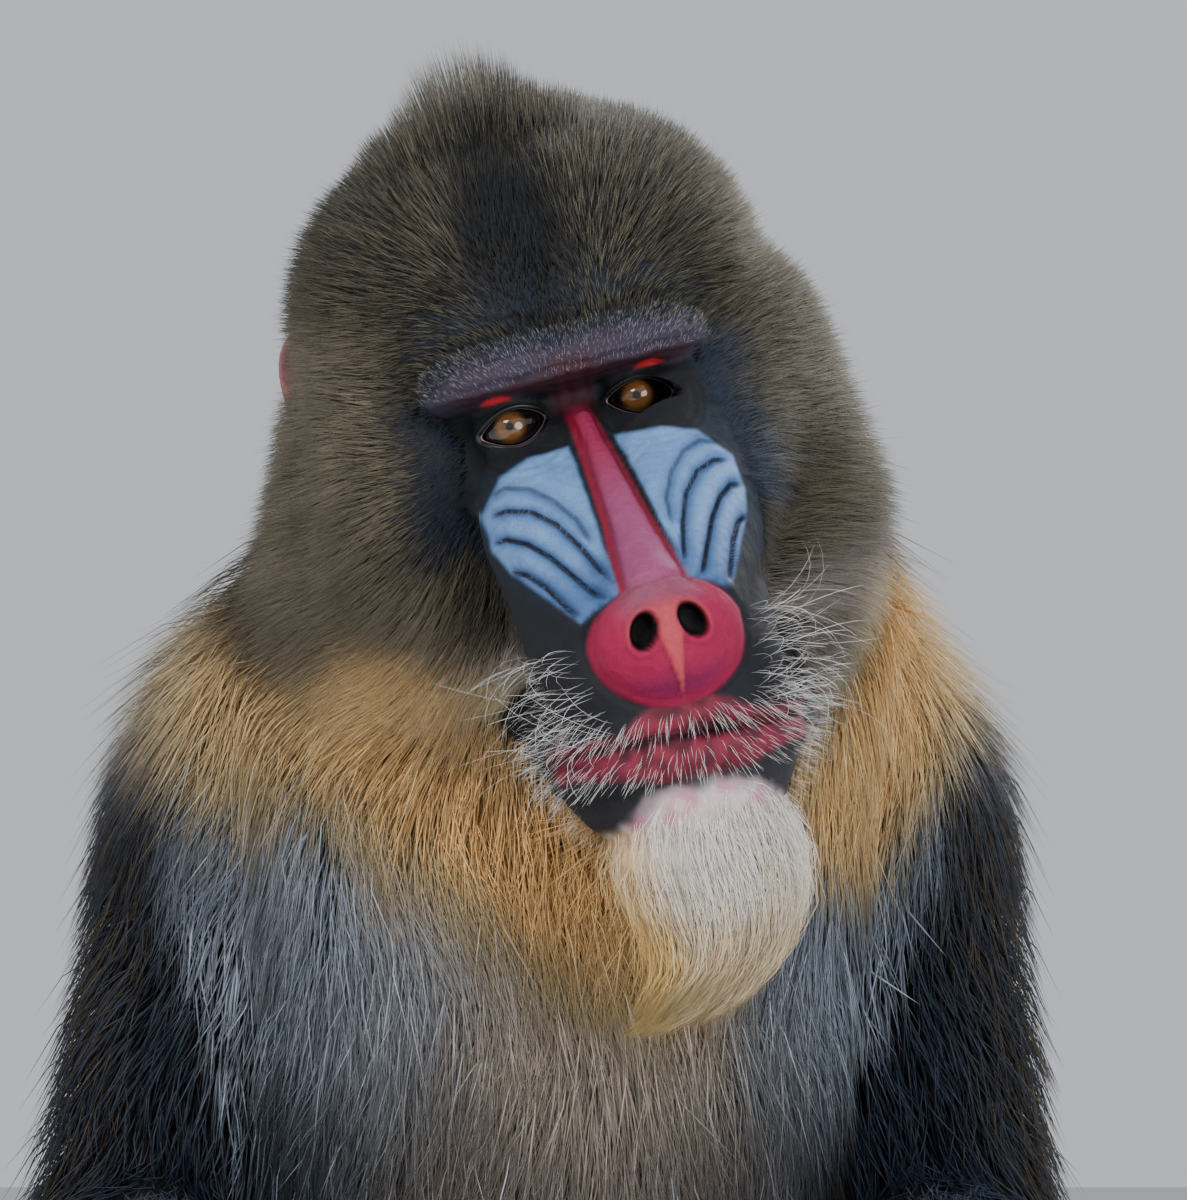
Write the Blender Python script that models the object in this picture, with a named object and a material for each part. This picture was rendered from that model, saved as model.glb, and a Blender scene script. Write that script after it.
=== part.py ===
"""A life-size model of an adult male mandrill, sitting upright with its forearms over its knees.

The animal faces -Y, +Z is up and the floor is z = 0. Lengths are in metres. Soft forms are chains of
ellipsoid beads that are fused, smoothed and thinned, then parted with thin cuts into named pieces.
Face sizes are in millimetres in the head's own frame, which starts midway between the eyes.
"""

import math
import random

import bmesh
import bpy
import numpy as np
from mathutils import Euler, Matrix, Vector
from mathutils.bvhtree import BVHTree

# Gap that touching pieces keep
GAP = 0.0003
SIDES = {"right": -1, "left": 1}
MM = 0.001

# Depth of the coat over the skin, and the share of it that a solid under locks fills
COAT = {
    "head": 0.014,
    "cheek": 0.016,
    "neck": 0.024,
    "torso": 0.020,
    "upper_arm": 0.013,
    "forearm": 0.009,
    "thigh": 0.013,
    "shin": 0.008,
    "tail": 0.010,
    "bare": 0.0015,
}
CORE_SHARE = 0.5

# Trunk from rump to nape: centre y, centre z, half width, half depth, half height of the skin
TRUNK = (
    (0.062, 0.046, 0.084, 0.080, 0.050),
    (0.074, 0.110, 0.102, 0.090, 0.060),
    (0.082, 0.190, 0.099, 0.094, 0.060),
    (0.078, 0.280, 0.100, 0.100, 0.060),
    (0.060, 0.370, 0.108, 0.108, 0.060),
    (0.040, 0.440, 0.112, 0.102, 0.052),
    (0.022, 0.500, 0.100, 0.090, 0.048),
    (0.004, 0.548, 0.084, 0.080, 0.044),
    (-0.010, 0.596, 0.072, 0.068, 0.040),
)
TRAPEZIUS = ((0.045, 0.034, 0.535, 0.046), (0.104, 0.038, 0.462, 0.044))
NECK_FROM = 6
NECK_BASE = ((0.0, 0.024, 0.496), (0.0, 0.30, -1.0))

# Limbs: joint places of the left side and skin radii. The right elbow stands out further.
SHOULDER = (0.104, 0.034, 0.450)
ELBOW = {"left": (0.137, 0.048, 0.286), "right": (0.150, 0.048, 0.286)}
WRIST = (0.124, -0.166, 0.311)
ARM_RADII = (0.044, 0.040, 0.036, 0.033)
FOREARM_RADII = (0.033, 0.031, 0.025, 0.019)
HIP = (0.078, 0.066, 0.108)
KNEE = (0.152, -0.108, 0.220)
ANKLE = (0.138, -0.058, 0.046)
THIGH_RADII = (0.070, 0.060, 0.050, 0.040)
SHIN_RADII = (0.038, 0.037, 0.027, 0.021)

# Hand and foot, in their own frames: across, along, up from the sole or palm
FINGERS = ((-0.0235, 0.044), (-0.008, 0.050), (0.008, 0.049), (0.0225, 0.042))
FINGER_RADIUS = 0.0072
KNUCKLES = 0.064
HAND_DIP = 56.0
TOES = ((-0.022, 0.042), (-0.008, 0.047), (0.0065, 0.045), (0.0205, 0.039))
TOE_RADIUS = 0.0078
FOOT_BALL = 0.112
FOOT_TURN = 9.0
NAIL = (0.0042, 0.0062, 0.0016)

# Locks of each region: space between roots, width, length, thickness, how far the tip stands off
LOCKS = {
    "crest": (0.024, 0.030, 0.052, 0.0070, 0.0190),
    "head": (0.045, 0.048, 0.072, 0.0065, 0.0085),
    "neck": (0.054, 0.062, 0.096, 0.0080, 0.0180),
    "torso": (0.080, 0.086, 0.130, 0.0090, 0.0110),
    "chest": (0.080, 0.070, 0.110, 0.0090, 0.0110),
}
LOCK_STEPS = 3
LOCK_SEED = 11
ROOT_DEPTH = 0.0055
# Where no locks grow: below this height, and on the bare front of the head in its own frame
LOWEST_ROOT = 0.060
LOWEST_TIP = 0.006
BARE_FRONT = 30
CREST_BAND = (24, 66)
# Chest and belly lie in front of this; locks of the back don't lie over a limb nearer than this
CHEST_FRONT = -0.020
OVERHANG = 0.022

# Tail
TAIL = ((0.0, 0.150, 0.118), (0.0, 0.186, 0.140), (0.0, 0.205, 0.176))
TAIL_RADII = (0.016, 0.013, 0.009)

# The head: place of the point between the eyes, its turn towards +X and its lean towards -X
EYES = (0.007, -0.090, 0.600)
HEAD_TURN = 7.0
HEAD_LEAN = 14.0

# Head forms in millimetres: centre x, y, z and radii x, y, z. Those off the middle are mirrored.
SKULL = (
    ((18, 66, 36), (55, 64, 58)),
    ((0, 66, 36), (40, 50, 59)),
    ((0, 42, -6), (52, 38, 38)),
    ((0, 56, -52), (50, 50, 48)),
)
CHEEK = (
    (40, 62, 14, 34, 44, 44),
    (45, 56, -18, 35, 40, 42),
    (43, 52, -52, 35, 37, 40),
    (32, 48, -86, 33, 36, 34),
)
# Share of the coat's depth that stands out forwards on the head
COAT_FORWARD = 0.45
BROW = ((0, -6, 17), (23, -8, 18), (41, -3, 15.5), (52, 8, 12))
BROW_RADII = (8.0, 8.2, 7.2, 5.0)
MUZZLE = (
    ((0, 12, -30), (38, 30, 32)),
    ((0, -18, -52), (41, 30, 34)),
    ((0, -44, -74), (42, 28, 34)),
    ((0, -62, -92), (39, 27, 26)),
)
JAW = (
    ((0, 26, -98), (44, 30, 30)),
    ((0, -12, -112), (42, 28, 28)),
    ((0, -42, -124), (38, 26, 25)),
    ((0, -56, -128), (31, 22, 20)),
)
NOSE_BRIDGE = ((0, -7, -4), (0, -32, -22), (0, -58, -43), (0, -82, -62))
NOSE_BRIDGE_RADII = (4.5, 5.8, 7.5, 11.0)
# The beard's core, then each ring of its locks: how many, start height, width round the core, tip
BEARD = ((0, -38, -132, 27, 22, 18), (-3, -33, -152, 17, 14, 14))
BEARD_RINGS = (
    (6, -128, (31, 24), (-9, -28, -176), 18, 6),
    (3, -142, (20, 15), (-14, -29, -194), 17, 5),
    (1, -156, (3, 3), (-19, -31, -208), 14, 4.5),
)
NOSE_DISC = ((0, -84, -79), (25.5, 15, 22.5))
NOSTRIL = ((8.0, -101, -76), (3.6, 9, 6.2), 22.0)
SWELLING = ((22, 2, -23), (24, -18, -36), (22.5, -40, -54), (19, -62, -70))
SWELLING_RADII = (18.0, 20.0, 18.5, 13.0)
# Furrows across the swelling, seen from the front: x and z from its outer end towards the nose
FURROWS = (
    ((40, -21), (33, -18.5), (26, -20.5), (19.5, -26), (14.5, -34), (12.5, -44)),
    ((41, -27), (35, -26), (28, -28), (21.5, -34), (16.5, -43), (13.5, -51), (11.5, -57)),
    ((43, -36), (38, -35), (32.5, -38), (27, -44), (22.5, -51), (18, -58), (14.5, -62)),
    ((40.5, -45.5), (36, -47.5), (31.5, -53), (28.5, -59), (25, -65)),
)
FURROW_DEPTH = (2.0, 2.6, 3.0, 2.6)
FURROW_WIDTH = 4.2
UPPER_LIP = ((0, -84, -107), (22, -78, -107), (36, -61, -110), (42, -41, -113))
LOWER_LIP = ((0, -80, -119), (22, -73, -119.5), (35, -57, -121), (41, -39, -121))
LIP_RADII = (5.8, 5.8, 5.4, 4.0)
MOUTH_FRONT = (0, -90, -112.0)
MOUTH_SLOPE = -5.0
HEAD_CUT = ((0, 70, -72), (0, 0.68, -0.73))
EYE = ((22, 9.5, 0), 10.5)
LID_RADIUS = 13.2
LID_OPENING = (11.5, 6.4)
EAR = ((81, 84, 31), (17, 7.5, 23))
EAR_HOLLOW = 0.70
EAR_TURN = 50.0

# Triangles that each smooth form keeps before locks are joined to it
TRIANGLES = {
    "head": 2500,
    "trunk": 1000,
    "arm": 360,
    "leg": 400,
    "hand": 320,
    "foot": 320,
    "tail": 100,
    "ear": 110,
    "beard": 90,
    "guide": 7000,
}

COLOURS = {
    "coat_fur": (0.060, 0.055, 0.048),
    "ruff_fur": (0.42, 0.30, 0.14),
    "beard_fur": (0.72, 0.52, 0.26),
    "face_skin": (0.20, 0.26, 0.38),
    "ear_skin": (0.42, 0.26, 0.28),
    "hand_skin": (0.055, 0.050, 0.055),
    "eye": (0.42, 0.20, 0.05),
}


def clear_scene():
    for obj in list(bpy.data.objects):
        bpy.data.objects.remove(obj)


def material(name, colour, roughness):
    made = bpy.data.materials.new(name)
    made.use_nodes = True
    shader = made.node_tree.nodes["Principled BSDF"]
    shader.inputs["Base Color"].default_value = (*colour, 1)
    shader.inputs["Roughness"].default_value = roughness
    shader.inputs["Metallic"].default_value = 0
    return made


def object_of(name, bm):
    mesh = bpy.data.meshes.new(name)
    bm.to_mesh(mesh)
    bm.free()
    obj = bpy.data.objects.new(name, mesh)
    bpy.context.scene.collection.objects.link(obj)
    return obj


def apply_modifiers(obj):
    """Puts the evaluated mesh in place of the object's own, and clears its modifiers."""
    bpy.context.view_layer.update()
    graph = bpy.context.evaluated_depsgraph_get()
    mesh = bpy.data.meshes.new_from_object(obj.evaluated_get(graph))
    obj.modifiers.clear()
    obj.data = mesh
    return obj


def between(a, b, c, d, t):
    """A row of numbers on the smooth curve from b to c, a share t of the way along."""
    return tuple(
        q
        + 0.5 * (r - p) * t
        + 0.5 * (2 * p - 5 * q + 4 * r - s) * t * t
        + 0.5 * (3 * q - p - 3 * r + s) * t**3
        for p, q, r, s in zip(a, b, c, d)
    )


def spline(stations, reach):
    """Rows of numbers read from a smooth curve through the stations, as close as reach of their size."""
    rows = [stations[0], *stations, stations[-1]]
    out = []
    for a, b, c, d in zip(rows, rows[1:], rows[2:], rows[3:]):
        apart = math.dist(b[:3], c[:3])
        steps = max(1, math.ceil(apart / (reach * min(min(b[3:]), min(c[3:])))))
        out += [between(a, b, c, d, i / steps) for i in range(steps)]
    return [*out, tuple(stations[-1])]


def add_beads(beads, stations, grow=0.0, frame=None, reach=0.45, detail=3):
    """Ellipsoids along a smooth curve. A station is x, y, z and one radius or three."""
    frame = frame or Matrix()
    full = [tuple(s) if len(s) == 6 else (*s[:3], *(s[3],) * 3) for s in stations]
    for x, y, z, *radii in spline(full, reach):
        size = Matrix.Diagonal((*(r + grow for r in radii), 1))
        beads.append((frame @ Matrix.Translation((x, y, z)) @ size, detail))


def unit_ball(detail):
    """Vertices and triangles of a ball of radius 1."""
    bm = bmesh.new()
    bmesh.ops.create_icosphere(bm, subdivisions=detail, radius=1)
    places = np.array([(*v.co, 1) for v in bm.verts])
    faces = np.array([[v.index for v in f.verts] for f in bm.faces])
    bm.free()
    return places, faces


def mesh_of_beads(name, beads):
    balls = {detail: unit_ball(detail) for detail in {d for _, d in beads}}
    places, faces, count = [], [], 0
    for matrix, detail in beads:
        ball_places, ball_faces = balls[detail]
        places.append((ball_places @ np.array(matrix).T)[:, :3])
        faces.append(ball_faces + count)
        count += len(ball_places)
    mesh = bpy.data.meshes.new(name)
    mesh.from_pydata(np.concatenate(places), [], np.concatenate(faces))
    obj = bpy.data.objects.new(name, mesh)
    bpy.context.scene.collection.objects.link(obj)
    return obj


def fused(name, beads, voxel, smoothing, triangles):
    """One closed skin round all the beads, smoothed and thinned to about that many triangles."""
    obj = mesh_of_beads(name, beads)
    remesh = obj.modifiers.new("Remesh", "REMESH")
    remesh.mode = "VOXEL"
    remesh.voxel_size = voxel
    smooth = obj.modifiers.new("Smooth", "SMOOTH")
    smooth.factor = 0.5
    smooth.iterations = smoothing
    apply_modifiers(obj)
    return thin(obj, triangles)


def thin(obj, triangles):
    decimate = obj.modifiers.new("Decimate", "DECIMATE")
    faces = sum(len(p.vertices) - 2 for p in obj.data.polygons)
    decimate.ratio = min(1.0, triangles / faces)
    decimate.use_collapse_triangulate = True
    return apply_modifiers(obj)


def boolean(obj, operation, others, keep_others=False, solver="MANIFOLD"):
    """Joins or cuts the object with all the others at once, and applies it."""
    if not others:
        return obj
    group = bpy.data.collections.new("operands")
    bpy.context.scene.collection.children.link(group)
    for other in others:
        group.objects.link(other)
    modifier = obj.modifiers.new("Boolean", "BOOLEAN")
    modifier.operation = operation
    modifier.solver = solver
    modifier.operand_type = "COLLECTION"
    modifier.collection = group
    apply_modifiers(obj)
    for other in others:
        group.objects.unlink(other)
        if not keep_others:
            bpy.data.objects.remove(other)
    bpy.data.collections.remove(group)
    return keep_largest(obj)


def keep_largest(obj):
    """Leaves only the largest closed surface, as a triangle mesh."""
    bm = bmesh.new()
    bm.from_mesh(obj.data)
    bmesh.ops.triangulate(bm, faces=bm.faces)
    seen, islands = set(), []
    for start in bm.verts:
        if start in seen:
            continue
        island, stack = [], [start]
        seen.add(start)
        while stack:
            vert = stack.pop()
            island.append(vert)
            for edge in vert.link_edges:
                other = edge.other_vert(vert)
                if other not in seen:
                    seen.add(other)
                    stack.append(other)
        islands.append(island)
    islands.sort(key=len, reverse=True)
    for island in islands[1:]:
        bmesh.ops.delete(bm, geom=island, context="VERTS")
    bm.to_mesh(obj.data)
    bm.free()
    return obj


def keep_side(obj, point, normal, gap=GAP / 2, size=1.6):
    """Cuts the object with a plane, keeping what lies behind it, half a gap clear of it."""
    bm = bmesh.new()
    direction = Vector(normal).normalized()
    turn = direction.to_track_quat("Z", "Y").to_matrix().to_4x4()
    middle = Vector(point) + direction * (size / 2 - gap)
    bmesh.ops.create_cube(bm, size=size, matrix=Matrix.Translation(middle) @ turn)
    return boolean(obj, "DIFFERENCE", [object_of("half_space", bm)])


def copy_of(obj, name):
    made = bpy.data.objects.new(name, obj.data.copy())
    bpy.context.scene.collection.objects.link(made)
    return made


def fattened(obj, by):
    """A copy whose surface stands out further, to cut a neighbour clear of the object."""
    made = copy_of(obj, obj.name + "_fat")
    displace = made.modifiers.new("Displace", "DISPLACE")
    displace.strength = by
    displace.mid_level = 0
    return apply_modifiers(made)


def cut_clear(obj, *neighbours):
    """Cuts the object clear of its neighbours. A second, closer cut takes the slivers of the first."""
    for by in (0.0009, 0.0004):
        obj = boolean(obj, "DIFFERENCE", [fattened(n, by) for n in neighbours])
    return obj


def side_of(place, sign):
    return (place[0] * sign, *place[1:])


def tree_of(obj):
    bm = bmesh.new()
    bm.from_mesh(obj.data)
    tree = BVHTree.FromBMesh(bm)
    bm.free()
    return tree


def holds(tree, place):
    """Whether the place lies inside the closed surface, by the crossings of a ray that leaves it."""
    ray = Vector((0.31, 0.22, 0.92)).normalized()
    crossings = 0
    hit = tree.ray_cast(place, ray)[0]
    while hit is not None:
        crossings += 1
        hit = tree.ray_cast(hit + ray * 1e-6, ray)[0]
    return crossings % 2 == 1


def owner_of(place, trees):
    """The name of the node whose solid holds the place, if any."""
    return next((name for name, tree in trees.items() if holds(tree, place)), None)


def lie_of(name, place):
    """The way the hair grows there, as a direction in the world."""
    if name == "head":
        local = head_frame().inverted() @ place
        sign = 1 if local.x > 0 else -1
        crown = min(max(local.z / 90, 0), 1)
        flow = Vector((0.25 * sign, 0.85, 0.85 * crown - 0.75))
        return (head_frame().to_3x3() @ flow).normalized()
    return Vector((0.25 * place.x / 0.1, 0.12, -1)).normalized()


def form_of(name, place):
    """Which row of LOCKS serves that place on a node, or none where the coat is short or bare."""
    if name == "head":
        local = head_frame().inverted() @ place
        if abs(local.x) < CREST_BAND[0] and local.z > CREST_BAND[1]:
            return "crest" if local.y > BARE_FRONT - 22 else None
        if local.y < BARE_FRONT - 0.16 * max(local.z, 0):
            return None
    if place.z < LOWEST_ROOT:
        return None
    if name == "torso" and place.y < CHEST_FRONT:
        return "chest"
    return name if name in LOCKS else None


def scattered(mesh, rng, count):
    """Places spread evenly over a triangle mesh, with the surface's normal at each."""
    corners = [[mesh.vertices[k].co for k in face.vertices] for face in mesh.polygons]
    areas = [face.area for face in mesh.polygons]
    out = []
    for k in rng.choices(range(len(corners)), areas, k=count):
        a, b, c = corners[k]
        u, v = sorted((rng.random(), rng.random()))
        out.append((a * u + b * (v - u) + c * (1 - v), mesh.polygons[k].normal.copy()))
    return out


def lay_lock(tree, root, lie, form, rng):
    """Stations of a lock that starts sunk at the root and follows the surface along its lie."""
    _, width, length, thickness, lift = LOCKS[form]
    size = rng.uniform(0.86, 1.14)
    length, lift = length * size, lift * rng.uniform(0.75, 1.1)
    place, normal, _, _ = tree.find_nearest(root)
    heading = (lie - normal * lie.dot(normal)).normalized()
    spine = [(place - normal * ROOT_DEPTH - heading * 0.002, normal)]
    bend = rng.uniform(-0.35, 0.35)
    for i in range(1, LOCK_STEPS + 1):
        share = i / LOCK_STEPS
        ahead = place + heading * (length / LOCK_STEPS)
        near, around, _, _ = tree.find_nearest(ahead)
        if normal.dot(around) > 0.2:
            place, normal = near, (normal + around).normalized()
        else:
            place = ahead
        heading = Matrix.Rotation(bend / LOCK_STEPS, 3, normal) @ (heading + lie * 0.2)
        heading = (heading - normal * heading.dot(normal)).normalized()
        stand = lift * share**1.2 + 0.0012
        spine.append((place + normal * stand, normal))
    return spine, width * rng.uniform(0.9, 1.1) * size, thickness


def outline_of(spine, width, sunk):
    """Places along the middle and both edges of a lock, and sunk under its middle."""
    (first, normal), (last, _) = spine[0], spine[-1]
    across = (last - first).cross(normal).normalized() * width * 0.4
    middle = [place for place, _ in spine[1:]]
    halves = [(a + b) / 2 for (a, _), (b, _) in zip(spine[1:], spine[2:])]
    under = [place - turn * sunk for place, turn in spine[2:]]
    edges = [place + across for place in middle[:-1]] + [place - across for place in middle[:-1]]
    return middle + halves + edges + under


def scatter_locks(guide, cores):
    """Blades of all locks on the coat, keyed by the node that each grows from."""
    rng = random.Random(LOCK_SEED)
    tree = tree_of(guide)
    trees = {obj.name: tree_of(obj) for obj in cores}
    others = {k: t for k, t in trees.items() if k.endswith(("left", "right", "tail"))}
    blades = {obj.name: [] for obj in cores}
    taken = []
    for place, normal in scattered(guide.data, rng, 9000):
        name = owner_of(place - normal * ROOT_DEPTH, trees)
        form = form_of(name, place) if name else None
        if form is None:
            continue
        apart = LOCKS[form][0]
        if any((place - other).length < apart for other in taken):
            continue
        spine, width, thickness = lay_lock(tree, place, lie_of(name, place), form, rng)
        if min(point.z for point, _ in spine) < LOWEST_TIP:
            continue
        sunk = OVERHANG if form == "torso" else 0
        if any(owner_of(point, others) for point in outline_of(spine, width, sunk)):
            continue
        taken.append(place)
        blades[name].append(object_of("lock", lock_along(spine, width, thickness)))
    return blades


def beard_locks():
    """Rings of locks that hang from the chin and gather to a point which curls to the right side."""
    frame = head_frame()
    rng = random.Random(LOCK_SEED + 1)
    made = []
    for count, start, (wide, deep), tip, width, thickness in BEARD_RINGS:
        spread = 2.2 * count
        for k in range(count):
            turn = 2 * math.pi * (k + 0.5) / count
            out = Vector((math.sin(turn), -math.cos(turn), 0))
            root = Vector((out.x * wide * 0.55, -35 + out.y * deep * 0.55, start))
            end = Vector(tip) + out * spread + Vector((0, 0, rng.uniform(-5, 9)))
            belly = Vector((out.x * wide, -34 + out.y * deep, start * 0.7 + tip[2] * 0.3))
            low = belly.lerp(end, 0.55) + out * 3
            normal = (frame.to_3x3() @ out).normalized()
            spine = [(frame @ p, normal) for p in (root, belly, low, end)]
            made.append(object_of("lock", lock_along(spine, width * MM, thickness * MM)))
    return made


def lock_along(spine, width, thickness):
    """A flat lock with a diamond section on a row of (place, upward normal), widest near a third."""
    bm = bmesh.new()
    steps = len(spine) - 1
    rings = []
    for i, (place, normal) in enumerate(spine[:-1]):
        share = i / steps
        ahead = (spine[i + 1][0] - spine[max(i - 1, 0)][0]).normalized()
        across = ahead.cross(normal).normalized()
        above = across.cross(ahead).normalized()
        half = 0.5 * width * (0.72 + 0.9 * share - 1.15 * share**2)
        thick = 0.5 * thickness * (1 - 0.62 * share)
        ring = [(half, 0), (0, thick), (-half, 0), (0, -thick)]
        rings.append([bm.verts.new(place + across * a + above * b) for a, b in ring])
    tip = bm.verts.new(spine[-1][0])
    for low, high in zip(rings, rings[1:]):
        for k in range(4):
            a, b, c, d = low[k], low[(k + 1) % 4], high[(k + 1) % 4], high[k]
            bm.faces.new((a, b, c))
            bm.faces.new((a, c, d))
    for k in range(4):
        bm.faces.new((rings[-1][k], rings[-1][(k + 1) % 4], tip))
    bm.faces.new((rings[0][3], rings[0][2], rings[0][1]))
    bm.faces.new((rings[0][3], rings[0][1], rings[0][0]))
    bmesh.ops.recalc_face_normals(bm, faces=bm.faces)
    return bm


def head_frame():
    turn = Euler((0, 0, math.radians(HEAD_TURN))).to_matrix().to_4x4()
    lean = Euler((0, -math.radians(HEAD_LEAN), 0)).to_matrix().to_4x4()
    return Matrix.Translation(EYES) @ turn @ lean @ Matrix.Scale(MM, 4)


def mirrored_path(path, sign):
    return [(x * sign, *rest) for x, *rest in path]


def under_coat(radii, depth):
    """Radii of a head form with its coat, which stands out less towards the front."""
    wide, deep, tall = radii
    return wide + depth, deep + depth * COAT_FORWARD, tall + depth


def add_head_beads(beads, share):
    """Skull, cheeks, muzzle and jaw in the head's frame. share is how much of the coat they hold."""
    frame = head_frame()
    for sign in SIDES.values():
        for centre, radii in SKULL:
            skull = (*centre, *under_coat(radii, COAT["head"] * share / MM))
            add_beads(beads, mirrored_path([skull], sign), 0, frame, detail=4)
        cheek = [(*row[:3], *under_coat(row[3:], COAT["cheek"] * share / MM)) for row in CHEEK]
        add_beads(beads, mirrored_path(cheek, sign), 0, frame, reach=0.25, detail=4)
    for chain in (MUZZLE, JAW):
        add_beads(beads, [(*c, *r) for c, r in chain], 0, frame, reach=0.25, detail=4)


def add_face_beads(beads):
    frame = head_frame()
    add_beads(beads, [(*NOSE_DISC[0], *NOSE_DISC[1])], 0, frame, detail=4)
    chain = [(*p, r) for p, r in zip(NOSE_BRIDGE, NOSE_BRIDGE_RADII)]
    add_beads(beads, chain, 0, frame, reach=0.3)
    for sign in SIDES.values():
        brow = zip(mirrored_path(BROW, sign), BROW_RADII)
        add_beads(beads, [(*p, r) for p, r in brow], 0, frame, reach=0.3)
        swelling = zip(mirrored_path(SWELLING, sign), SWELLING_RADII)
        add_beads(beads, [(*p, r) for p, r in swelling], 0, frame, reach=0.25)
        for lip in (UPPER_LIP, LOWER_LIP):
            path = zip(mirrored_path(lip, sign), LIP_RADII)
            add_beads(beads, [(*p, r) for p, r in path], 0, frame, reach=0.4)
        x, y, z = EYE[0]
        add_beads(beads, [(x * sign, y, z, LID_RADIUS)], 0, frame)


def furrow(tree, path, depth, sign):
    """A blade that cuts one furrow into the front of the head, along stations seen from there."""
    frame = head_frame()
    inward = (frame.to_3x3() @ Vector((0, 1, 0))).normalized()
    spine = []
    for x, z in path:
        start = frame @ Vector((x * sign, -160, z))
        place, normal, _, _ = tree.ray_cast(start, inward)
        spine.append((place + normal * 0.2 * MM, normal))
    return object_of("furrow", lock_along(spine, FURROW_WIDTH * MM, 2 * depth * MM))


def ellipsoid(name, centre, radii, frame, turn=0.0, detail=3):
    """A ball in a frame, turned round its own y axis."""
    bm = bmesh.new()
    place = Matrix.Translation(centre) @ Matrix.Rotation(math.radians(turn), 4, "Y")
    size = Matrix.Diagonal((*radii, 1))
    bmesh.ops.create_icosphere(bm, subdivisions=detail, radius=1, matrix=frame @ place @ size)
    return object_of(name, bm)


def lid_opening(sign):
    """An almond-shaped cutter that opens the lids in front of the eye."""
    bm = bmesh.new()
    half_width, half_height = LID_OPENING
    outline = []
    for i in range(16):
        turn = 2 * math.pi * i / 16
        across = math.cos(turn) * half_width
        up = math.sin(turn) * half_height * (1 - 0.35 * math.cos(turn) ** 2)
        outline.append(bm.verts.new((across, 0, up)))
    face = bm.faces.new(outline)
    pushed = bmesh.ops.extrude_face_region(bm, geom=[face])
    front = [v for v in pushed["geom"] if isinstance(v, bmesh.types.BMVert)]
    bmesh.ops.translate(bm, verts=front, vec=(0, -22, 0))
    bmesh.ops.recalc_face_normals(bm, faces=bm.faces)
    x, y, z = EYE[0]
    tilt = Matrix.Rotation(math.radians(5 * sign), 4, "Y")
    place = Matrix.Translation((x * sign, y - 2, z)) @ tilt
    bmesh.ops.transform(bm, matrix=head_frame() @ place, verts=bm.verts)
    return object_of("lid_opening", bm)


def make_head(trunk_beads):
    """The head and the lower jaw, parted along the mouth, with sockets, nostrils and lids."""
    beads = []
    trunk_beads(beads)
    add_head_beads(beads, CORE_SHARE)
    add_face_beads(beads)
    whole = fused("head", beads, 0.0018, 5, 1e9)
    frame = head_frame()
    turn = frame.to_3x3().normalized()
    whole = keep_side(whole, frame @ Vector(HEAD_CUT[0]), turn @ Vector(HEAD_CUT[1]))
    thin(whole, TRIANGLES["head"])
    whole = keep_side(whole, frame @ Vector(HEAD_CUT[0]), turn @ Vector(HEAD_CUT[1]), GAP)
    tree = tree_of(whole)
    cutters = []
    for sign in SIDES.values():
        cutters += [furrow(tree, path, deep, sign) for path, deep in zip(FURROWS, FURROW_DEPTH)]
        (x, y, z), radii, lean = NOSTRIL
        cutters.append(ellipsoid("nostril", (x * sign, y, z), radii, frame, -lean * sign, 2))
        (x, y, z), radius = EYE
        socket = (radius + 2 * GAP / MM,) * 3
        cutters.append(ellipsoid("socket", (x * sign, y, z), socket, frame, detail=2))
        cutters.append(lid_opening(sign))
    whole = boolean(whole, "DIFFERENCE", cutters)
    slope = Matrix.Rotation(math.radians(MOUTH_SLOPE), 3, "X") @ Vector((0, 0, 1))
    point, up = frame @ Vector(MOUTH_FRONT), turn @ slope
    jaw = keep_side(copy_of(whole, "lower_jaw"), point, up)
    beads = []
    add_beads(beads, BEARD, 0, frame, reach=0.25)
    beard = [fused("beard", beads, 0.003, 3, TRIANGLES["beard"]), *beard_locks()]
    jaw = keep_side(boolean(jaw, "UNION", beard), point, up)
    return keep_side(whole, point, -up), jaw


def make_eyes():
    made = []
    for side, sign in SIDES.items():
        (x, y, z), radius = EYE
        ball = ellipsoid("eye_" + side, (x * sign, y, z), (radius,) * 3, head_frame(), detail=2)
        made.append(ball)
    return made


def make_ear(side, sign, head):
    """A rounded cup with a rolled rim, set in the coat behind the cheek."""
    frame = head_frame()
    (x, y, z), (wide, thick, tall) = EAR
    place = Matrix.Translation((x * sign, y, z))
    place = place @ Matrix.Rotation(math.radians(EAR_TURN * sign), 4, "Z")
    beads = []
    add_beads(beads, [(0, 0, 0, wide, thick, tall)], 0, frame @ place, detail=4)
    add_beads(beads, [(-6 * sign, 2, -12, 12, 8, 14)], 0, frame @ place, detail=4)
    ear = fused("ear_" + side, beads, 0.0016, 3, TRIANGLES["ear"])
    hollow = ellipsoid(
        "hollow",
        (1.5 * sign, -thick * 1.15, 0),
        (wide * EAR_HOLLOW, thick * 1.45, tall * EAR_HOLLOW),
        frame @ place,
        detail=2,
    )
    ear = boolean(ear, "DIFFERENCE", [hollow])
    return cut_clear(ear, head)


def add_trunk_beads(beads, share):
    for i in range(len(TRUNK) - 1):
        coat = COAT["neck" if i >= NECK_FROM else "torso"] * share
        pair = [(0, y, z, w, d, h) for y, z, w, d, h in TRUNK[i : i + 2]]
        add_beads(beads, pair, coat, reach=0.35, detail=4)


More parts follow.
